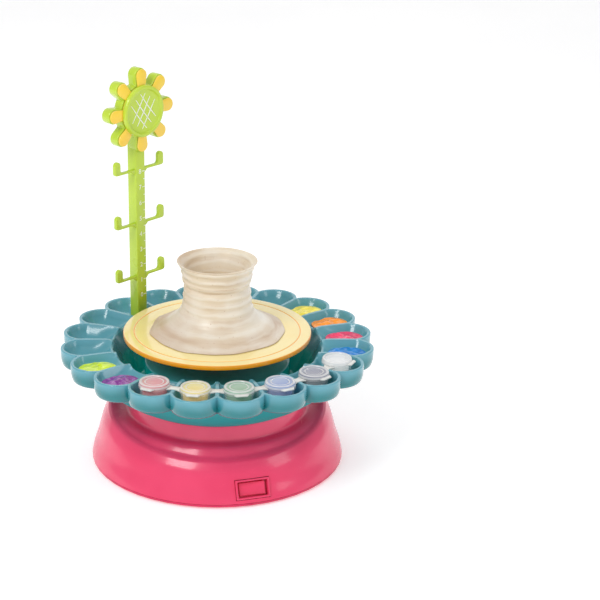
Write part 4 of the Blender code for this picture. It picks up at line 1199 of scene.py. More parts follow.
# ---------------------------------------------------------------- tray
@dataclass
class FlowerTray:
    """The teal tray: twenty spoon-shaped wells round a basin, with its skirt."""

    petals: int = 20
    root_r: float = 0.0805
    rho: float = 0.0145
    lip: float = 0.0019
    rim_z: float = 0.0758
    under_z: float = 0.0642
    floor_z: float = 0.0670
    wall: float = 0.0022
    basin_rim_r: float = 0.0627
    basin_rim_z: float = 0.0730
    basin_floor_r: float = 0.0500
    basin_floor_z: float = 0.0460
    boss_r: float = 0.0443
    boss_top: float = 0.0635
    hole_r: float = 0.0083
    low_z: float = 0.0433
    skirt_top_r: float = 0.0820
    skirt_low_r: float = 0.0570
    scallop: float = 0.0015
    gussets: tuple[float, ...] = (-36.0, 36.0, -144.0, 144.0)
    snug: tuple[float, ...] = tuple(pot.value[1] for pot in Pot)
    steps_per_petal: int = 24
    top_spans: int = 34

    def local(self, azimuth: float) -> float:
        """Gives the angle from the nearest petal's middle."""
        pitch = 360.0 / self.petals
        return (azimuth % pitch) - pitch / 2

    def petal_edge(self, local: float) -> float:
        """Gives the outline's radius at an angle from a petal's middle.

        Args:
            local: Angle from the petal's middle, in degrees.

        Returns:
            The radius.
        """
        a = math.radians(local)
        side = self.root_r * math.sin(a)
        return self.root_r * math.cos(a) + math.sqrt(max(0.0, self.rho ** 2 - side ** 2))

    def inner_edge(self, local: float) -> float:
        """Gives the scalloped edge between the basin and the wells."""
        share = abs(local) * self.petals / 180.0
        return self.basin_rim_r + self.scallop * (0.55 - share ** 1.6)

    def is_snug(self, azimuth: float) -> bool:
        """Says whether the well at an azimuth holds a pot."""
        return any(abs((azimuth - a + 180.0) % 360.0 - 180.0) <= 9.0 for a in self.snug)

    def surface(self, azimuth: float, radius: float) -> float:
        """Gives the height of the petals' upper surface.

        Args:
            azimuth: Angle round the wheel's axis, in degrees.
            radius: Distance from the wheel's axis.

        Returns:
            The height.
        """
        local = self.local(azimuth)
        a = math.radians(local)
        ridge = radius * math.sin(math.radians(180.0 / self.petals - abs(local))) - 0.0010
        out = self.rho - self.lip - math.hypot(radius * math.cos(a) - self.root_r, radius * math.sin(a))
        if radius * math.cos(a) < self.root_r:
            out = max(out, ridge)
        near = min(ridge, out)
        reach = 0.0044 if self.is_snug(azimuth) else 0.0092
        share = min(1.0, max(0.0, near / reach))
        bowl = 1.0 - (1.0 - share) ** 2.0
        inward = (radius - self.inner_edge(local) - 0.0004) / (0.0075 if self.is_snug(azimuth) else 0.0135)
        inward = min(1.0, max(0.0, inward))
        slope = 0.16 + 0.84 * (1.0 - (1.0 - inward) ** 1.9)
        crown = 0.0004 * ease(1.0 - near / 0.0010) if near < 0.0010 else 0.0
        sag = 0.0006 * (1.0 - ease((radius - self.basin_rim_r) / 0.006))
        return self.rim_z - 0.0004 + crown - sag - (self.rim_z - 0.0004 - self.floor_z) * bowl * slope

    def gusset(self, azimuth: float) -> float:
        """Gives how much of a gusset stands at an azimuth, from 0 to 1."""
        near = min(abs((azimuth - g + 180.0) % 360.0 - 180.0) for g in self.gussets)
        return max(0.0, 1.0 - near / 9.0)

    def section(self, azimuth: float) -> Profile:
        """Gives the tray's closed section at an azimuth.

        Args:
            azimuth: Angle round the wheel's axis, in degrees.

        Returns:
            Points of radius and height, in order.
        """
        local = self.local(azimuth)
        edge, inner = self.petal_edge(local), self.inner_edge(local)
        fill = self.gusset(azimuth)
        top_z = self.basin_floor_z + (self.boss_top - 0.004 - self.basin_floor_z) * fill
        side = (self.basin_rim_r - self.basin_floor_r) / (self.basin_rim_z - self.basin_floor_z)
        foot_r = self.basin_floor_r + side * 0.55 * (top_z - self.basin_floor_z)
        basin = rounded([
            (self.hole_r, self.boss_top), (self.boss_r, self.boss_top, 0.0012), (self.boss_r, top_z, 0.0008),
            (foot_r, self.basin_floor_z + 0.45 * (top_z - self.basin_floor_z), 0.0012),
            (inner, self.basin_rim_z, 0.0006), (inner + 0.0012, self.surface(azimuth, inner + 0.0012)),
        ], 4)
        start, end = inner + 0.0012, edge - 0.0011
        top = []
        for k in range(self.top_spans + 1):
            t = k / self.top_spans
            radius = mix(start, end, 0.5 * t + 0.5 * ease(t))
            top.append((radius, self.surface(azimuth, radius)))
        lip_z = top[-1][1]
        outer = rounded([
            top[-1], (edge, lip_z, 0.0010), (edge - 0.0002, self.under_z + 0.0046, 0.002),
            (edge - 0.0016, self.under_z, 0.0034), (edge - 0.0075, self.under_z),
        ], 5)
        thick = self.basin_floor_r + self.wall
        under = [
            (thick + side * (self.under_z - self.basin_floor_z), self.under_z), (thick, self.basin_floor_z),
            (thick - 0.0010, self.low_z), (self.boss_r - self.wall, self.low_z),
            (self.boss_r - self.wall, self.boss_top - self.wall), (self.hole_r, self.boss_top - self.wall),
        ]
        return basin[:-1] + top[:-1] + outer + under

    def build_tray(self) -> bpy.types.Object:
        """Makes the tray with the seat for the ruler post.

        Returns:
            The piece.
        """
        tray = turned("flower_tray_shell", self.section, self.petals * self.steps_per_petal)
        post = RulerPost()
        half = post.width / 2 + 0.0003
        seat = block("seat", (-half, -half, self.floor_z), (half, half, self.rim_z + 0.004))
        cut(tray, place(seat, post.matrix()))
        half = post.plug / 2 + 0.0003
        hole = block("hole", (-half, -half, self.under_z - 0.008), (half, half, self.floor_z + 0.004))
        cut(tray, place(hole, post.matrix()))
        return show(tray, TEAL, "base", ["flower_tray"], angle=42.0)

    def skirt_section(self, azimuth: float) -> Profile:
        """Gives the skirt's closed section.

        Args:
            azimuth: Angle round the wheel's axis, in degrees; not used.

        Returns:
            Points of radius and height, in order.
        """
        top, low = self.under_z - 0.0003, self.low_z
        rise, reach = top - low, self.skirt_top_r - self.skirt_low_r
        curve = [(self.skirt_top_r, top), (self.skirt_top_r, top - 0.0010),
                 (self.skirt_low_r + 0.80 * reach, low + 0.74 * rise),
                 (self.skirt_low_r + 0.55 * reach, low + 0.47 * rise),
                 (self.skirt_low_r + 0.25 * reach, low + 0.19 * rise), (self.skirt_low_r, low + 0.0008),
                 (self.skirt_low_r - 0.0008, low)]
        outer = rounded([(r, z, 0.004) for r, z in curve], 4)
        inner = [(self.skirt_low_r - 0.0023, low),
                 (self.skirt_low_r + 0.25 * reach - 0.0020, low + 0.19 * rise + 0.0016),
                 (self.skirt_low_r + 0.80 * reach - 0.0020, low + 0.74 * rise + 0.0012),
                 (self.skirt_top_r - 0.0020, top)]
        return outer + inner

    def build(self) -> None:
        """Makes the tray and its skirt."""
        self.build_tray()
        skirt = turned("tray_skirt_bowl", self.skirt_section, 192)
        show(skirt, TEAL_SKIRT, "base", ["tray_skirt"])


@dataclass
class LoosePaint:
    """Stirred pools of paint in six of the wells."""

    ring_r: float = 0.0790
    along: float = 0.0116
    across: float = 0.0107
    low_z: float = 0.0700
    top_z: float = 0.0728
    lump: float = 0.0012

    def build(self) -> None:
        """Makes every pool."""
        for paint in Paint:
            name, azimuth, colour = paint.value
            where = polar(azimuth, self.ring_r)
            seed = Vector((azimuth, 0.0, 3.0))

            def section(angle: float) -> Profile:
                """Gives the pool's section at an angle round its middle."""
                a = math.radians(angle)
                edge = 1.0 / math.hypot(math.sin(a) / self.across, math.cos(a) / self.along)
                made = [(0.0, self.top_z)]
                for share in (0.15, 0.28, 0.40, 0.52, 0.63, 0.73, 0.82, 0.90, 0.96, 1.0):
                    spot = Vector((share * math.sin(a), share * math.cos(a), 0.0)) * 2.1 + seed
                    swirl = noise.turbulence(spot, 2, False, noise_basis="PERLIN_ORIGINAL")
                    fade = min(1.0, share / 0.15) * ease((1.0 - share) / 0.3)
                    crown = self.top_z - 0.0013 * share ** 3
                    made.append((edge * share, crown + self.lump * (swirl - 0.45) * fade))
                return made + [(0.93 * edge, self.low_z), (0.0, self.low_z)]

            pool = turned(f"pool_{name}", section, 72, closed=False, start=90.0)
            turn = Matrix.Rotation(math.radians(azimuth), 4, "Z")
            place(pool, Matrix.Translation(where) @ turn)
            show(pool, WetPaint(f"paint_{name}", colour, 0.12), "base", [f"paint_{name}"], angle=80.0)


# ---------------------------------------------------------------- turntable and clay
@dataclass
class Turntable:
    """The cream disc with two ring grooves."""

    radius: float = 0.0570
    top: float = 0.0820
    thick: float = 0.0030
    grooves: tuple[float, ...] = (0.0502, 0.0366)
    groove_half: float = 0.00045
    groove_deep: float = 0.00035

    def section(self, azimuth: float) -> Profile:
        """Gives the disc's section from the axis over the rim and back.

        Args:
            azimuth: Angle round the wheel's axis, in degrees; not used.

        Returns:
            Points of radius and height, in order.
        """
        corners: list[tuple[float, ...]] = [(0.0, self.top)]
        for radius in sorted(self.grooves):
            corners += [(radius - self.groove_half, self.top, 0.0002),
                        (radius - 0.0001, self.top - self.groove_deep, 0.0001),
                        (radius + 0.0001, self.top - self.groove_deep, 0.0001),
                        (radius + self.groove_half, self.top, 0.0002)]
        low = self.top - self.thick
        corners += [(self.radius - 0.0002, self.top, 0.0009), (self.radius, low, 0.0010), (self.radius - 0.0040, low),
                    (self.radius - 0.0046, low + 0.0006), (0.0, low + 0.0006)]
        return rounded(corners, 3)

    def build(self) -> None:
        """Makes the disc."""
        disc = turned("turntable_disc", self.section, 192, closed=False)
        show(disc, CREAM, "turntable", ["turntable"], angle=25.0)


@dataclass
class ClayPot:
    """A half-thrown pot with finger rings, a soft lip and a smeared foot."""

    base: float = 0.0823
    height: float = 0.0440
    rim_r: float = 0.0241
    neck_r: float = 0.0208
    foot_r: float = 0.0415
    wall: float = 0.0030

    def outer(self) -> Profile:
        """Gives the outer profile from the lip down.

        Returns:
            Points of radius and height, in order.
        """
        rim, neck, foot, tall = self.rim_r, self.neck_r, self.foot_r, self.height
        return [
            (rim - 0.0005, 0.985 * tall), (rim - 0.0013, 0.945 * tall), (rim - 0.0024, 0.87 * tall),
            (neck + 0.0004, 0.79 * tall), (neck + 0.0001, 0.73 * tall), (neck - 0.0014, 0.675 * tall),
            (neck - 0.0006, 0.62 * tall), (neck - 0.0002, 0.53 * tall), (neck, 0.44 * tall),
            (neck + 0.0008, 0.34 * tall), (neck + 0.0030, 0.25 * tall), (neck + 0.0072, 0.16 * tall),
            (neck + 0.0125, 0.085 * tall), (foot - 0.0040, 0.030 * tall), (foot - 0.0010, 0.008 * tall),
        ]

    def section(self, azimuth: float) -> Profile:
        """Gives the pot's section from the inner floor over the lip to the foot.

        Args:
            azimuth: Angle round the wheel's axis, in degrees.

        Returns:
            Points of radius and height, in order.
        """
        base, tall = self.base, self.height
        a = math.radians(azimuth)
        inner = curve_through([
            (0.0, 0.20 * tall), (0.010, 0.205 * tall), (self.neck_r - self.wall - 0.0018, 0.25 * tall),
            (self.neck_r - self.wall, 0.40 * tall), (self.neck_r - self.wall - 0.0004, 0.70 * tall),
            (self.rim_r - 0.0046, 0.90 * tall), (self.rim_r - 0.0018, 0.988 * tall),
        ], 4)
        lip = [(self.rim_r - 0.0011, 0.999 * tall), (self.rim_r - 0.0004, tall), (self.rim_r, 0.996 * tall)]
        made: Profile = []
        for r, h in inner + lip + curve_through(self.outer(), 5):
            z = base + h
            turn = a * 1.0
            rib = 0.00028 * math.sin(TAU * h / 0.0050 + turn) + 0.00012 * math.sin(TAU * h / 0.0019 + 2.0 * turn)
            wobble = 0.00035 * math.sin(2.0 * a + 40.0 * h) * min(1.0, h / 0.01)
            smear = 0.0
            if h < 0.12 * tall:
                spot = Vector((3.0 * math.sin(a), 3.0 * math.cos(a), 1.0))
                smear = 0.0016 * noise.noise(spot) * (1.0 - h / (0.12 * tall))
            keep = min(1.0, r / 0.012) * min(1.0, max(0.0, (tall - h)) / 0.002)
            made.append((r + (rib + wobble) * keep + smear, z))
        edge = made[-1][0]
        return made + [(edge + 0.0001, base + 0.00006), (edge - 0.0006, base), (0.0, base)]

    def build(self) -> None:
        """Makes the pot."""
        pot = turned("thrown_pot", self.section, 160, closed=False)
        show(pot, CLAY, "clay_pot", ["clay_pot"], angle=70.0)


# ---------------------------------------------------------------- ruler post
@dataclass
class RulerPost:
    """The green post with its hooks and printed scale."""

    azimuth: float = -135.0
    ring_r: float = 0.0700
    width: float = 0.0075
    foot_z: float = 0.0673
    top_z: float = 0.1930
    plug: float = 0.0052
    plug_long: float = 0.0060
    hooks: tuple[float, ...] = (0.0995, 0.1340, 0.1683)
    reach: float = 0.0177
    thick: float = 0.0024
    paddle_w: float = 0.0046
    paddle_h: float = 0.0078
    scale_zero: float = 0.0870
    unit: float = 0.0100
    last: int = 8

    def matrix(self, z: float = 0.0) -> Matrix:
        """Gives the post's frame: x along the hooks, -y towards the wheel's axis, z up."""
        turn = Matrix.Rotation(math.radians(self.azimuth + 180.0), 4, "Z")
        return Matrix.Translation(polar(self.azimuth, self.ring_r, z)) @ turn

    def hook(self, z: float, side: Side) -> bpy.types.Object:
        """Makes one arm with its upturned paddle and the gusset under its root.

        Args:
            z: Height of the arm.
            side: Which side it points to.

        Returns:
            The piece.
        """
        inside, wide, arm = self.width / 2 - 0.0006, self.paddle_w / 2, 0.0014
        arc = [(self.reach + wide * math.cos(t), self.paddle_h - wide + wide * math.sin(t))
               for t in (math.pi * k / 10 for k in range(11))]
        elbow = [(self.reach - wide, 0.0022), (self.reach - wide - 0.0005, 0.0012),
                 (self.reach - wide - 0.0016, arm / 2)]
        outline = [(inside, -0.0034), (inside + 0.0016, -0.0022), (inside + 0.0034, -arm / 2),
                   (self.reach + wide - 0.0016, -arm / 2), (self.reach + wide - 0.0004, -arm / 2 + 0.0004),
                   (self.reach + wide, 0.0008)] + arc + elbow + [(inside, arm / 2)]
        arm_piece = plate("arm", [(side.value * x, y) for x, y in outline], 0.0, self.thick)
        round_edges(arm_piece, 0.0004)
        upright = Matrix.Rotation(math.radians(90.0), 4, "X")
        front = -self.width / 2 + 0.0006
        return place(arm_piece, self.matrix(z) @ Matrix.Translation((0.0, front + self.thick, 0.0)) @ upright)

    def build_post(self) -> None:
        """Makes the post, its plug and its six hooks as one piece."""
        half = self.width / 2
        post = block("post", (-half, -half, self.foot_z), (half, half, self.top_z))
        sink_face(post, (0.0, 1.0, 0.0), 0.0013, 0.0046)
        round_edges(post, 0.0005)
        peg = block("peg", (-self.plug / 2, -self.plug / 2, self.foot_z - self.plug_long),
                    (self.plug / 2, self.plug / 2, self.foot_z + 0.001))
        round_edges(peg, 0.0004)
        parts = [place(post, self.matrix()), place(peg, self.matrix())]
        parts += [self.hook(z, side) for z in self.hooks for side in Side]
        show(join("ruler_post", parts), LIME, "measuring_post", ["measuring_post"], angle=40.0)

    def mark(self, x: float, z: float, wide: float, tall: float) -> bpy.types.Object:
        """Makes one printed stroke on the post's face.

        Args:
            x: Middle of the stroke across the post.
            z: Middle of the stroke up the post.
            wide: Its width.
            tall: Its height.

        Returns:
            The piece.
        """
        front = -self.width / 2
        stroke = block("stroke", (x - wide / 2, front - 0.00008, z - tall / 2),
                       (x + wide / 2, front + 0.0001, z + tall / 2))
        return place(stroke, self.matrix())

    def digit(self, number: int, x: float, z: float, size: float) -> bpy.types.Object:
        """Makes one printed figure of the scale.

        Args:
            number: The figure, from 0 to 9.
            x: Middle of the figure across the post.
            z: Middle of the figure up the post.
            size: Height of the figure.

        Returns:
            The piece.
        """
        deselect_all()
        bpy.ops.object.text_add(location=(0.0, 0.0, 0.0))
        text = bpy.context.object
        text.data.body = str(number)
        text.data.size = size
        text.data.extrude = 0.00009
        text.data.align_x = "CENTER"
        text.data.align_y = "CENTER"
        text.data.resolution_u = 4
        bpy.ops.object.convert(target="MESH")
        piece = bpy.context.object
        upright = Matrix.Rotation(math.radians(90.0), 4, "X")
        return place(piece, self.matrix(z) @ Matrix.Translation((x, -self.width / 2, 0.0)) @ upright)

    def build_scale(self) -> None:
        """Makes the printed scale: a long stroke and a figure at each unit, a short stroke between."""
        strokes = []
        right = self.width / 2
        for step in range(2 * self.last + 1):
            z = self.scale_zero + step * self.unit / 2
            wide = 0.0022 if step % 2 == 0 else 0.0013
            strokes.append(self.mark(right - 0.0003 - wide / 2, z, wide, 0.0004))
        strokes += [self.digit(n, -0.0004, self.scale_zero + n * self.unit, 0.0042) for n in range(self.last + 1)]
        show(join("ruler_scale", strokes), PRINT, "measuring_post")

    def build(self) -> None:
        """Makes the post and its scale."""
        self.build_post()
        self.build_scale()


@dataclass
class FlowerHead:
    """The sunflower on the post: thick petals, golden faces, a ring and a latticed dish."""

    post: RulerPost = field(default_factory=RulerPost)
    z: float = 0.2055
    lobes: int = 8
    tip_r: float = 0.0260
    body_r: float = 0.0163
    thick: float = 0.0066
    skin: float = 0.0012
    ring_r: float = 0.0160
    ring_t: float = 0.0022
    dish_r: float = 0.0132
    gap: float = 0.0003

    def matrix(self) -> Matrix:
        """Gives the flower's frame: outline in x and y, face along z."""
        return self.post.matrix(self.z) @ Matrix.Rotation(math.radians(90.0), 4, "X")

    def petal(self, index: int, tip_r: float, root_r: float, half: float, flare: float) -> Profile:
        """Gives one round-ended petal of the outline, anticlockwise.

        Args:
            index: Number of the petal.
            tip_r: Radius of its tip.
            root_r: Radius where it starts.
            half: Half of its width.
            flare: How much narrower it is on each side at its root.

        Returns:
            Points in x and y, in order.
        """
        middle = TAU * index / self.lobes + math.pi / 2
        along = Vector((math.cos(middle), math.sin(middle)))
        across = Vector((-along.y, along.x))
        centre = along * (tip_r - half)
        root = along * math.sqrt(root_r ** 2 - (half - flare) ** 2)
        points = [root - across * (half - flare)]
        for k in range(13):
            t = -math.pi / 2 + math.pi * k / 12
            points.append(centre + along * half * math.cos(t) + across * half * math.sin(t))
        points.append(root + across * (half - flare))
        return [(p.x, p.y) for p in points]

    def outline(self, tip_r: float, root_r: float, half: float, flare: float, web: int) -> Profile:
        """Gives the whole outline, with round valleys between the petals.

        Args:
            tip_r: Radius of the tips.
            root_r: Radius of the valleys.
            half: Half of a petal's width.
            flare: How much narrower a petal is on each side at its root.
            web: Steps across a valley.

        Returns:
            Points in x and y, in order.
        """
        points: Profile = []
        for index in range(self.lobes):
            points += self.petal(index, tip_r, root_r, half, flare)
            last, following = Vector(points[-1]), Vector(self.petal(index + 1, tip_r, root_r, half, flare)[0])
            for k in range(1, web):
                middle = last.lerp(following, k / web)
                points.append(tuple(middle.normalized() * root_r))
        return points

    def build(self) -> None:
        """Makes the head, its golden faces, its centre and the lattice."""
        matrix = self.matrix()
        back = self.post.width / 2 + self.gap + self.skin - self.thick
        front = back + self.thick
        head = plate("head", self.outline(self.tip_r, self.body_r, 0.0046, 0.0006, 4), back, front)
        round_edges(head, 0.0007, 3)
        place(head, matrix)
        half = self.post.width / 2 + self.gap
        socket = block("socket", (-half, -half, self.post.top_z - 0.030),
                       (half, half + 0.002, self.post.top_z + self.gap))
        cut(head, place(socket, self.post.matrix()))
        show(head, LIME, "measuring_post", ["flower_head"], angle=40.0)
        low = front + self.gap
        faces = self.outline(self.tip_r - 0.0006, self.ring_r - 0.0006, 0.0040, 0.0009, 3)
        insert = plate("insert", faces, low, low + 0.0009)
        round_edges(insert, 0.0003, 2)
        show(place(insert, matrix), GOLD, "measuring_post", ["petal_insert"], angle=40.0)
        self.build_centre(low + 0.0008 + self.gap, matrix)

    def build_centre(self, low: float, matrix: Matrix) -> None:
        """Makes the raised ring with its dish and the white lattice in it.

        Args:
            low: Height of the centre's back.
            matrix: The flower's frame.
        """
        top = low + self.ring_t

        def section(angle: float) -> Profile:
            """Gives the ring's section.

            Args:
                angle: Angle round the piece's own axis, in degrees; not used.

            Returns:
                Points of radius and height, in order.
            """
            return rounded([(0.0, low + 0.0006), (0.6 * self.dish_r, low + 0.0007, 0.003),
                            (self.dish_r - 0.0002, low + 0.0011, 0.0008),
                            (self.dish_r + 0.0004, top, 0.0005), (self.ring_r - 0.0004, top, 0.0009),
                            (self.ring_r, low, 0.0002), (self.ring_r - 0.0004, low), (0.0, low)], 4)

        centre = turned("flower_dish", section, 96, closed=False)
        show(place(centre, matrix), LIME, "measuring_post", ["flower_center"], angle=40.0)
        strokes = []
        for tilt, offsets in ((58.0, (-0.0046, 0.0, 0.0046)), (-52.0, (-0.0048, 0.0, 0.0048))):
            for index, offset in enumerate(offsets):
                reach = math.sqrt((self.dish_r - 0.0017) ** 2 - offset ** 2)
                reach *= 0.86 if index == 1 else 0.94
                width = 0.00052
                outline = [(-reach, -0.35 * width), (0.0, -width / 2 - 0.0003), (reach, -0.35 * width),
                           (reach, 0.35 * width), (0.0, width / 2 - 0.0003), (-reach, 0.35 * width)]
                stroke = plate("line", outline, low + 0.0006, low + 0.00095)
                turn = Matrix.Rotation(math.radians(tilt), 4, "Z") @ Matrix.Translation((0.0, offset, 0.0))
                strokes.append(place(stroke, matrix @ turn))
        show(join("flower_lattice", strokes), PRINT, "measuring_post")


# ---------------------------------------------------------------- paint pots
@dataclass
class PaintPots:
    """Six joined pots with flip lids that sit in the front wells."""

    ring_r: float = 0.0790
    cup_r: float = 0.0087
    wall: float = 0.0010
    foot_z: float = 0.0676
    top_z: float = 0.0762
    paint_h: float = 0.0070
    lid_r: float = 0.0091
    lid_t: float = 0.0024
    gap: float = 0.0003

    def cup_section(self, angle: float) -> Profile:
        """Gives one cup's section from its inner floor over the rim to its foot.

        Args:
            angle: Angle round the piece's own axis, in degrees; not used.

        Returns:
            Points of radius and height, in order.
        """
        return rounded([
            (0.0, self.foot_z + self.wall), (self.cup_r - 0.0006 - self.wall, self.foot_z + self.wall, 0.0012),
            (self.cup_r - self.wall, self.top_z, 0.0002), (self.cup_r + 0.0004, self.top_z, 0.0003),
            (self.cup_r + 0.0004, self.top_z - 0.0010, 0.0003), (self.cup_r - 0.0001, self.top_z - 0.0011, 0.0002),
            (self.cup_r - 0.0007, self.foot_z, 0.0012), (self.cup_r - 0.0030, self.foot_z), (0.0, self.foot_z + 0.0002),
        ], 4)

    def lid_section(self, angle: float) -> Profile:
        """Gives one lid's section: two raised rings round a sunk middle.

        Args:
            angle: Angle round the piece's own axis, in degrees; not used.

        Returns:
            Points of radius and height, in order.
        """
        low = self.top_z + self.gap
        top = low + self.lid_t
        return rounded([
            (0.0, top - 0.0007), (self.lid_r - 0.0044, top - 0.0007, 0.0002),
            (self.lid_r - 0.0041, top - 0.0004, 0.0002),
            (self.lid_r - 0.0035, top - 0.0004, 0.0002), (self.lid_r - 0.0032, top - 0.0007, 0.0002),
            (self.lid_r - 0.0022, top - 0.0007, 0.0002), (self.lid_r - 0.0018, top, 0.0003),
            (self.lid_r - 0.0006, top, 0.0005), (self.lid_r - 0.0002, top - 0.0012, 0.0003), (self.lid_r, low, 0.0003),
            (self.lid_r - 0.0014, low), (self.lid_r - 0.0014, top - 0.0014, 0.0003), (0.0, top - 0.0016),
        ], 3)

    def web(self, first: Pot, second: Pot) -> bpy.types.Object:
        """Makes the flat strip between two cups, narrowed in the middle.

        Args:
            first: The pot it starts at.
            second: The pot it ends at.

        Returns:
            The piece.
        """
        near, far = polar(first.value[1], self.ring_r), polar(second.value[1], self.ring_r)
        along = (far - near).normalized()
        start = near + along * (self.cup_r - 0.0004)
        long = (far - near).length - 2 * (self.cup_r - 0.0004)
        outline = [(0.0, -0.0034), (0.3 * long, -0.0022), (0.7 * long, -0.0022), (long, -0.0034),
                   (long, 0.0034), (0.7 * long, 0.0022), (0.3 * long, 0.0022), (0.0, 0.0034)]
        strip = plate("web", outline, self.top_z - 0.0009, self.top_z - 0.0001)
        round_edges(strip, 0.0002, 2)
        turn = Matrix.Rotation(math.atan2(along.y, along.x), 4, "Z")
        return place(strip, Matrix.Translation(start) @ turn)

    def build_strip(self) -> None:
        """Makes the cups and the webs between them."""
        cups = []
        for pot in Pot:
            cup = turned("cup", self.cup_section, 64, closed=False)
            cups.append(place(cup, Matrix.Translation(polar(pot.value[1], self.ring_r))))
        show(join("pot_cups", cups), CLEAR, "paint_pots", ["paint_pot_strip"])
        order = list(Pot)
        webs = [self.web(a, b) for a, b in zip(order, order[1:])]
        show(join("pot_webs", webs), WHITE, "paint_pots")

    def build_fill(self, pot: Pot) -> None:
        """Makes the paint in one pot.

        Args:
            pot: The pot.
        """
        number, azimuth, colour, _ = pot.value
        floor = self.foot_z + self.wall + 0.0002
        radius = self.cup_r - self.wall - 0.0004
        seed = Vector((azimuth, 5.0, 0.0))

        def section(angle: float) -> Profile:
            """Gives the paint's section.

            Args:
                angle: Angle round the piece's own axis, in degrees.

            Returns:
                Points of radius and height, in order.
            """
            a = math.radians(angle)
            rim = floor + self.paint_h
            rise = 0.0002 * noise.noise(Vector((math.sin(a), math.cos(a), 0.0)) + seed) + 0.0002 * math.sin(a)
            return [(0.0, rim - 0.0003), (0.4 * radius, rim - 0.0003), (0.8 * radius, rim + 0.3 * rise),
                    (0.97 * radius, rim + rise), (radius, rim + rise - 0.0003), (radius - 0.0006, floor + 0.0012),
                    (radius - 0.0018, floor), (0.0, floor)]

        fill = turned(f"pot_{pot.name.lower()}_paint", section, 64, closed=False)
        place(fill, Matrix.Translation(polar(azimuth, self.ring_r)))
        # The paint in the pots gets a stronger painted glow against the shade under the lids.
        finish = WetPaint(f"pot_{pot.name.lower()}", colour, 0.15, glow=0.4)
        show(fill, finish, "paint_pots", [f"pot_paint_{number}"], angle=60.0)

    def build_lid(self, pot: Pot) -> None:
        """Makes one lid with its tab.

        Args:
            pot: The pot.
        """
        number, azimuth, _, tint = pot.value
        matrix = Matrix.Translation(polar(azimuth, self.ring_r)) @ Matrix.Rotation(math.radians(azimuth), 4, "Z")
        lid = turned("lid", self.lid_section, 72, closed=False)
        low = self.top_z + self.gap
        top = low + self.lid_t
        name = pot.name.lower()
        # The lid's raised rings and side are painted white as highlights; its sunk middle keeps the tint.
        finish = ClearPlastic(f"lid_{name}", tint, 0.12, haze=0.6, disc=(top - 0.0010, top - 0.0006))
        cap = name_piece(place(lid, matrix), f"lid_{name}_cap")
        show(cap, finish, f"pot_lid_{number}", [f"pot_lid_{number}"])
        outline = [(-0.0032, -self.lid_r - 0.0016), (0.0032, -self.lid_r - 0.0016), (0.0044, -self.lid_r + 0.0006),
                   (-0.0044, -self.lid_r + 0.0006)]
        tab = plate("tab", outline, low, low + 0.0009)
        round_edges(tab, 0.0003, 2)
        show(name_piece(place(tab, matrix), f"lid_{name}_tab"), WHITE, f"pot_lid_{number}")

    def build(self) -> None:
        """Makes the strip, the paints and the lids."""
        self.build_strip()
        for pot in Pot:
            self.build_fill(pot)
            self.build_lid(pot)


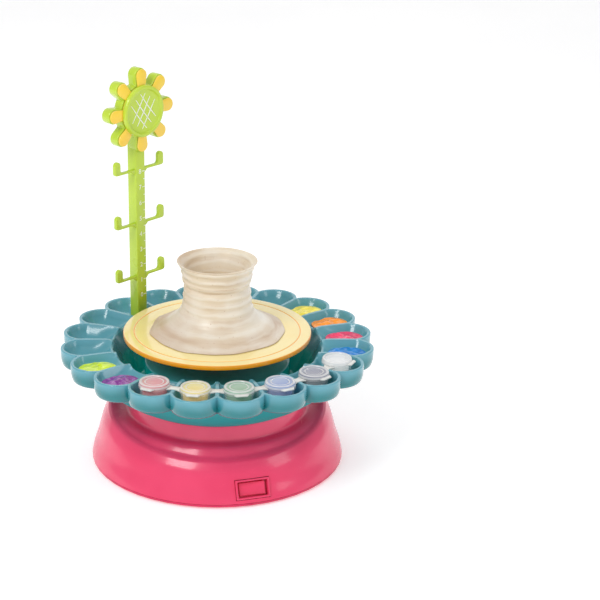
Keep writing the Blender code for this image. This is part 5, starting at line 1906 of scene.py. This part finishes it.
# ---------------------------------------------------------------- studio
@dataclass
class Studio:
    """The pale floor, the soft lights and the camera."""

    target: tuple[float, float, float] = (0.0, 0.0, 0.060)
    elevation: float = 22.92
    distance: float = 1.100
    lens: float = 108.3
    shift: tuple[float, float] = (0.138, 0.105)

    def build_floor(self) -> None:
        """Makes a wide pale floor that curves up into a backdrop."""
        sweep = ((-4.0, 0.0), (2.0, 0.0), (2.6, 0.08), (3.1, 0.35), (3.4, 0.9), (3.5, 3.0))
        floor = draw_line("studio_floor", [Vector((-4.0, y, z)) for y, z in sweep], False)
        bpy.ops.mesh.extrude_region_move(TRANSFORM_OT_translate={"value": (8.0, 0.0, 0.0)})
        bpy.ops.mesh.select_all(action="SELECT")
        bpy.ops.mesh.normals_make_consistent(inside=True)
        leave_edit_mode()
        place(floor, Matrix.Translation((0.0, 0.0, -0.0001)))
        smooth(floor, 60.0)
        material = bpy.data.materials.new("studio_paper")
        material.use_nodes = True
        sheet = Sheet(material.node_tree)
        shader = material.node_tree.nodes["Principled BSDF"]
        tone = sheet.blend(sheet.span(sheet.cloud(3.0, 3.0), 0.3, 0.7), srgb(250, 250, 250), srgb(246, 246, 247))
        sheet.tree.links.new(tone, shader.inputs["Base Color"])
        shader.inputs["Roughness"].default_value = 0.9
        shader.inputs["Emission Color"].default_value = (1.0, 1.0, 1.0, 1.0)
        shader.inputs["Emission Strength"].default_value = 0.36
        below = sheet.add("MixShader", {0: sheet.add("NewGeometry").outputs["Backfacing"], 1: shader.outputs[0],
                                        2: sheet.add("BsdfTransparent").outputs[0]})
        sheet.tree.links.new(below.outputs[0], material.node_tree.nodes["Material Output"].inputs["Surface"])
        floor.data.materials.append(material)

    def light(self, name: str, azimuth: float, distance: float, z: float, size: tuple[float, float], power: float,
              aim: float = 0.08) -> None:
        """Adds a soft rectangular light that looks at the object.

        Args:
            name: The light's name.
            azimuth: Where it stands round the object, in degrees.
            distance: How far it stands from the axis.
            z: Its height.
            size: Its width and height.
            power: Its power in watts.
            aim: Height that it looks at.
        """
        where = polar(azimuth, distance, z)
        lamp = bpy.data.lights.new(name, "AREA")
        lamp.shape = "RECTANGLE"
        lamp.size, lamp.size_y = size
        lamp.energy = power
        holder = bpy.data.objects.new(name, lamp)
        holder.location = where
        holder.rotation_euler = (Vector((0.0, 0.0, aim)) - where).to_track_quat("-Z", "Y").to_euler()
        bpy.context.scene.collection.objects.link(holder)

    def build_camera(self) -> None:
        """Sets the camera."""
        lens = bpy.data.cameras.new("studio_camera")
        lens.lens = self.lens
        lens.sensor_width = 36.0
        lens.shift_x, lens.shift_y = self.shift
        lens.clip_start, lens.clip_end = 0.05, 20.0
        camera = bpy.data.objects.new("studio_camera", lens)
        tilt = math.radians(self.elevation)
        back = Vector((0.0, -math.cos(tilt), math.sin(tilt)))
        camera.location = Vector(self.target) + back * self.distance
        camera.rotation_euler = (-back).to_track_quat("-Z", "Y").to_euler()
        bpy.context.scene.collection.objects.link(camera)
        bpy.context.scene.camera = camera

    def build(self) -> None:
        """Makes the floor, the lights, the surroundings and the camera."""
        self.build_floor()
        world = bpy.data.worlds.new("studio_air")
        world.use_nodes = True
        background = world.node_tree.nodes["Background"]
        background.inputs["Color"].default_value = (1.0, 1.0, 1.0, 1.0)
        background.inputs["Strength"].default_value = 0.50
        bpy.context.scene.world = world
        bpy.context.scene.view_settings.view_transform = "Standard"
        self.light("key_light", -38.0, 0.95, 0.95, (0.50, 0.50), 6.5)
        self.light("fill_light", 62.0, 1.05, 0.55, (0.35, 0.6), 1.6)
        self.light("top_light", 170.0, 0.35, 1.15, (0.6, 0.4), 1.8)
        self.build_camera()


def main() -> None:
    """Builds every sub-assembly in order."""
    logging.basicConfig(level=logging.INFO, format="%(message)s")
    parts = (Housing(), Drive(), FlowerTray(), LoosePaint(), Turntable(), ClayPot(), RulerPost(), FlowerHead(),
             PaintPots(), Studio())
    for part in parts:
        LOG.info("building %s", type(part).__name__)
        part.build()
    deselect_all()


if __name__ == "__main__":
    main()
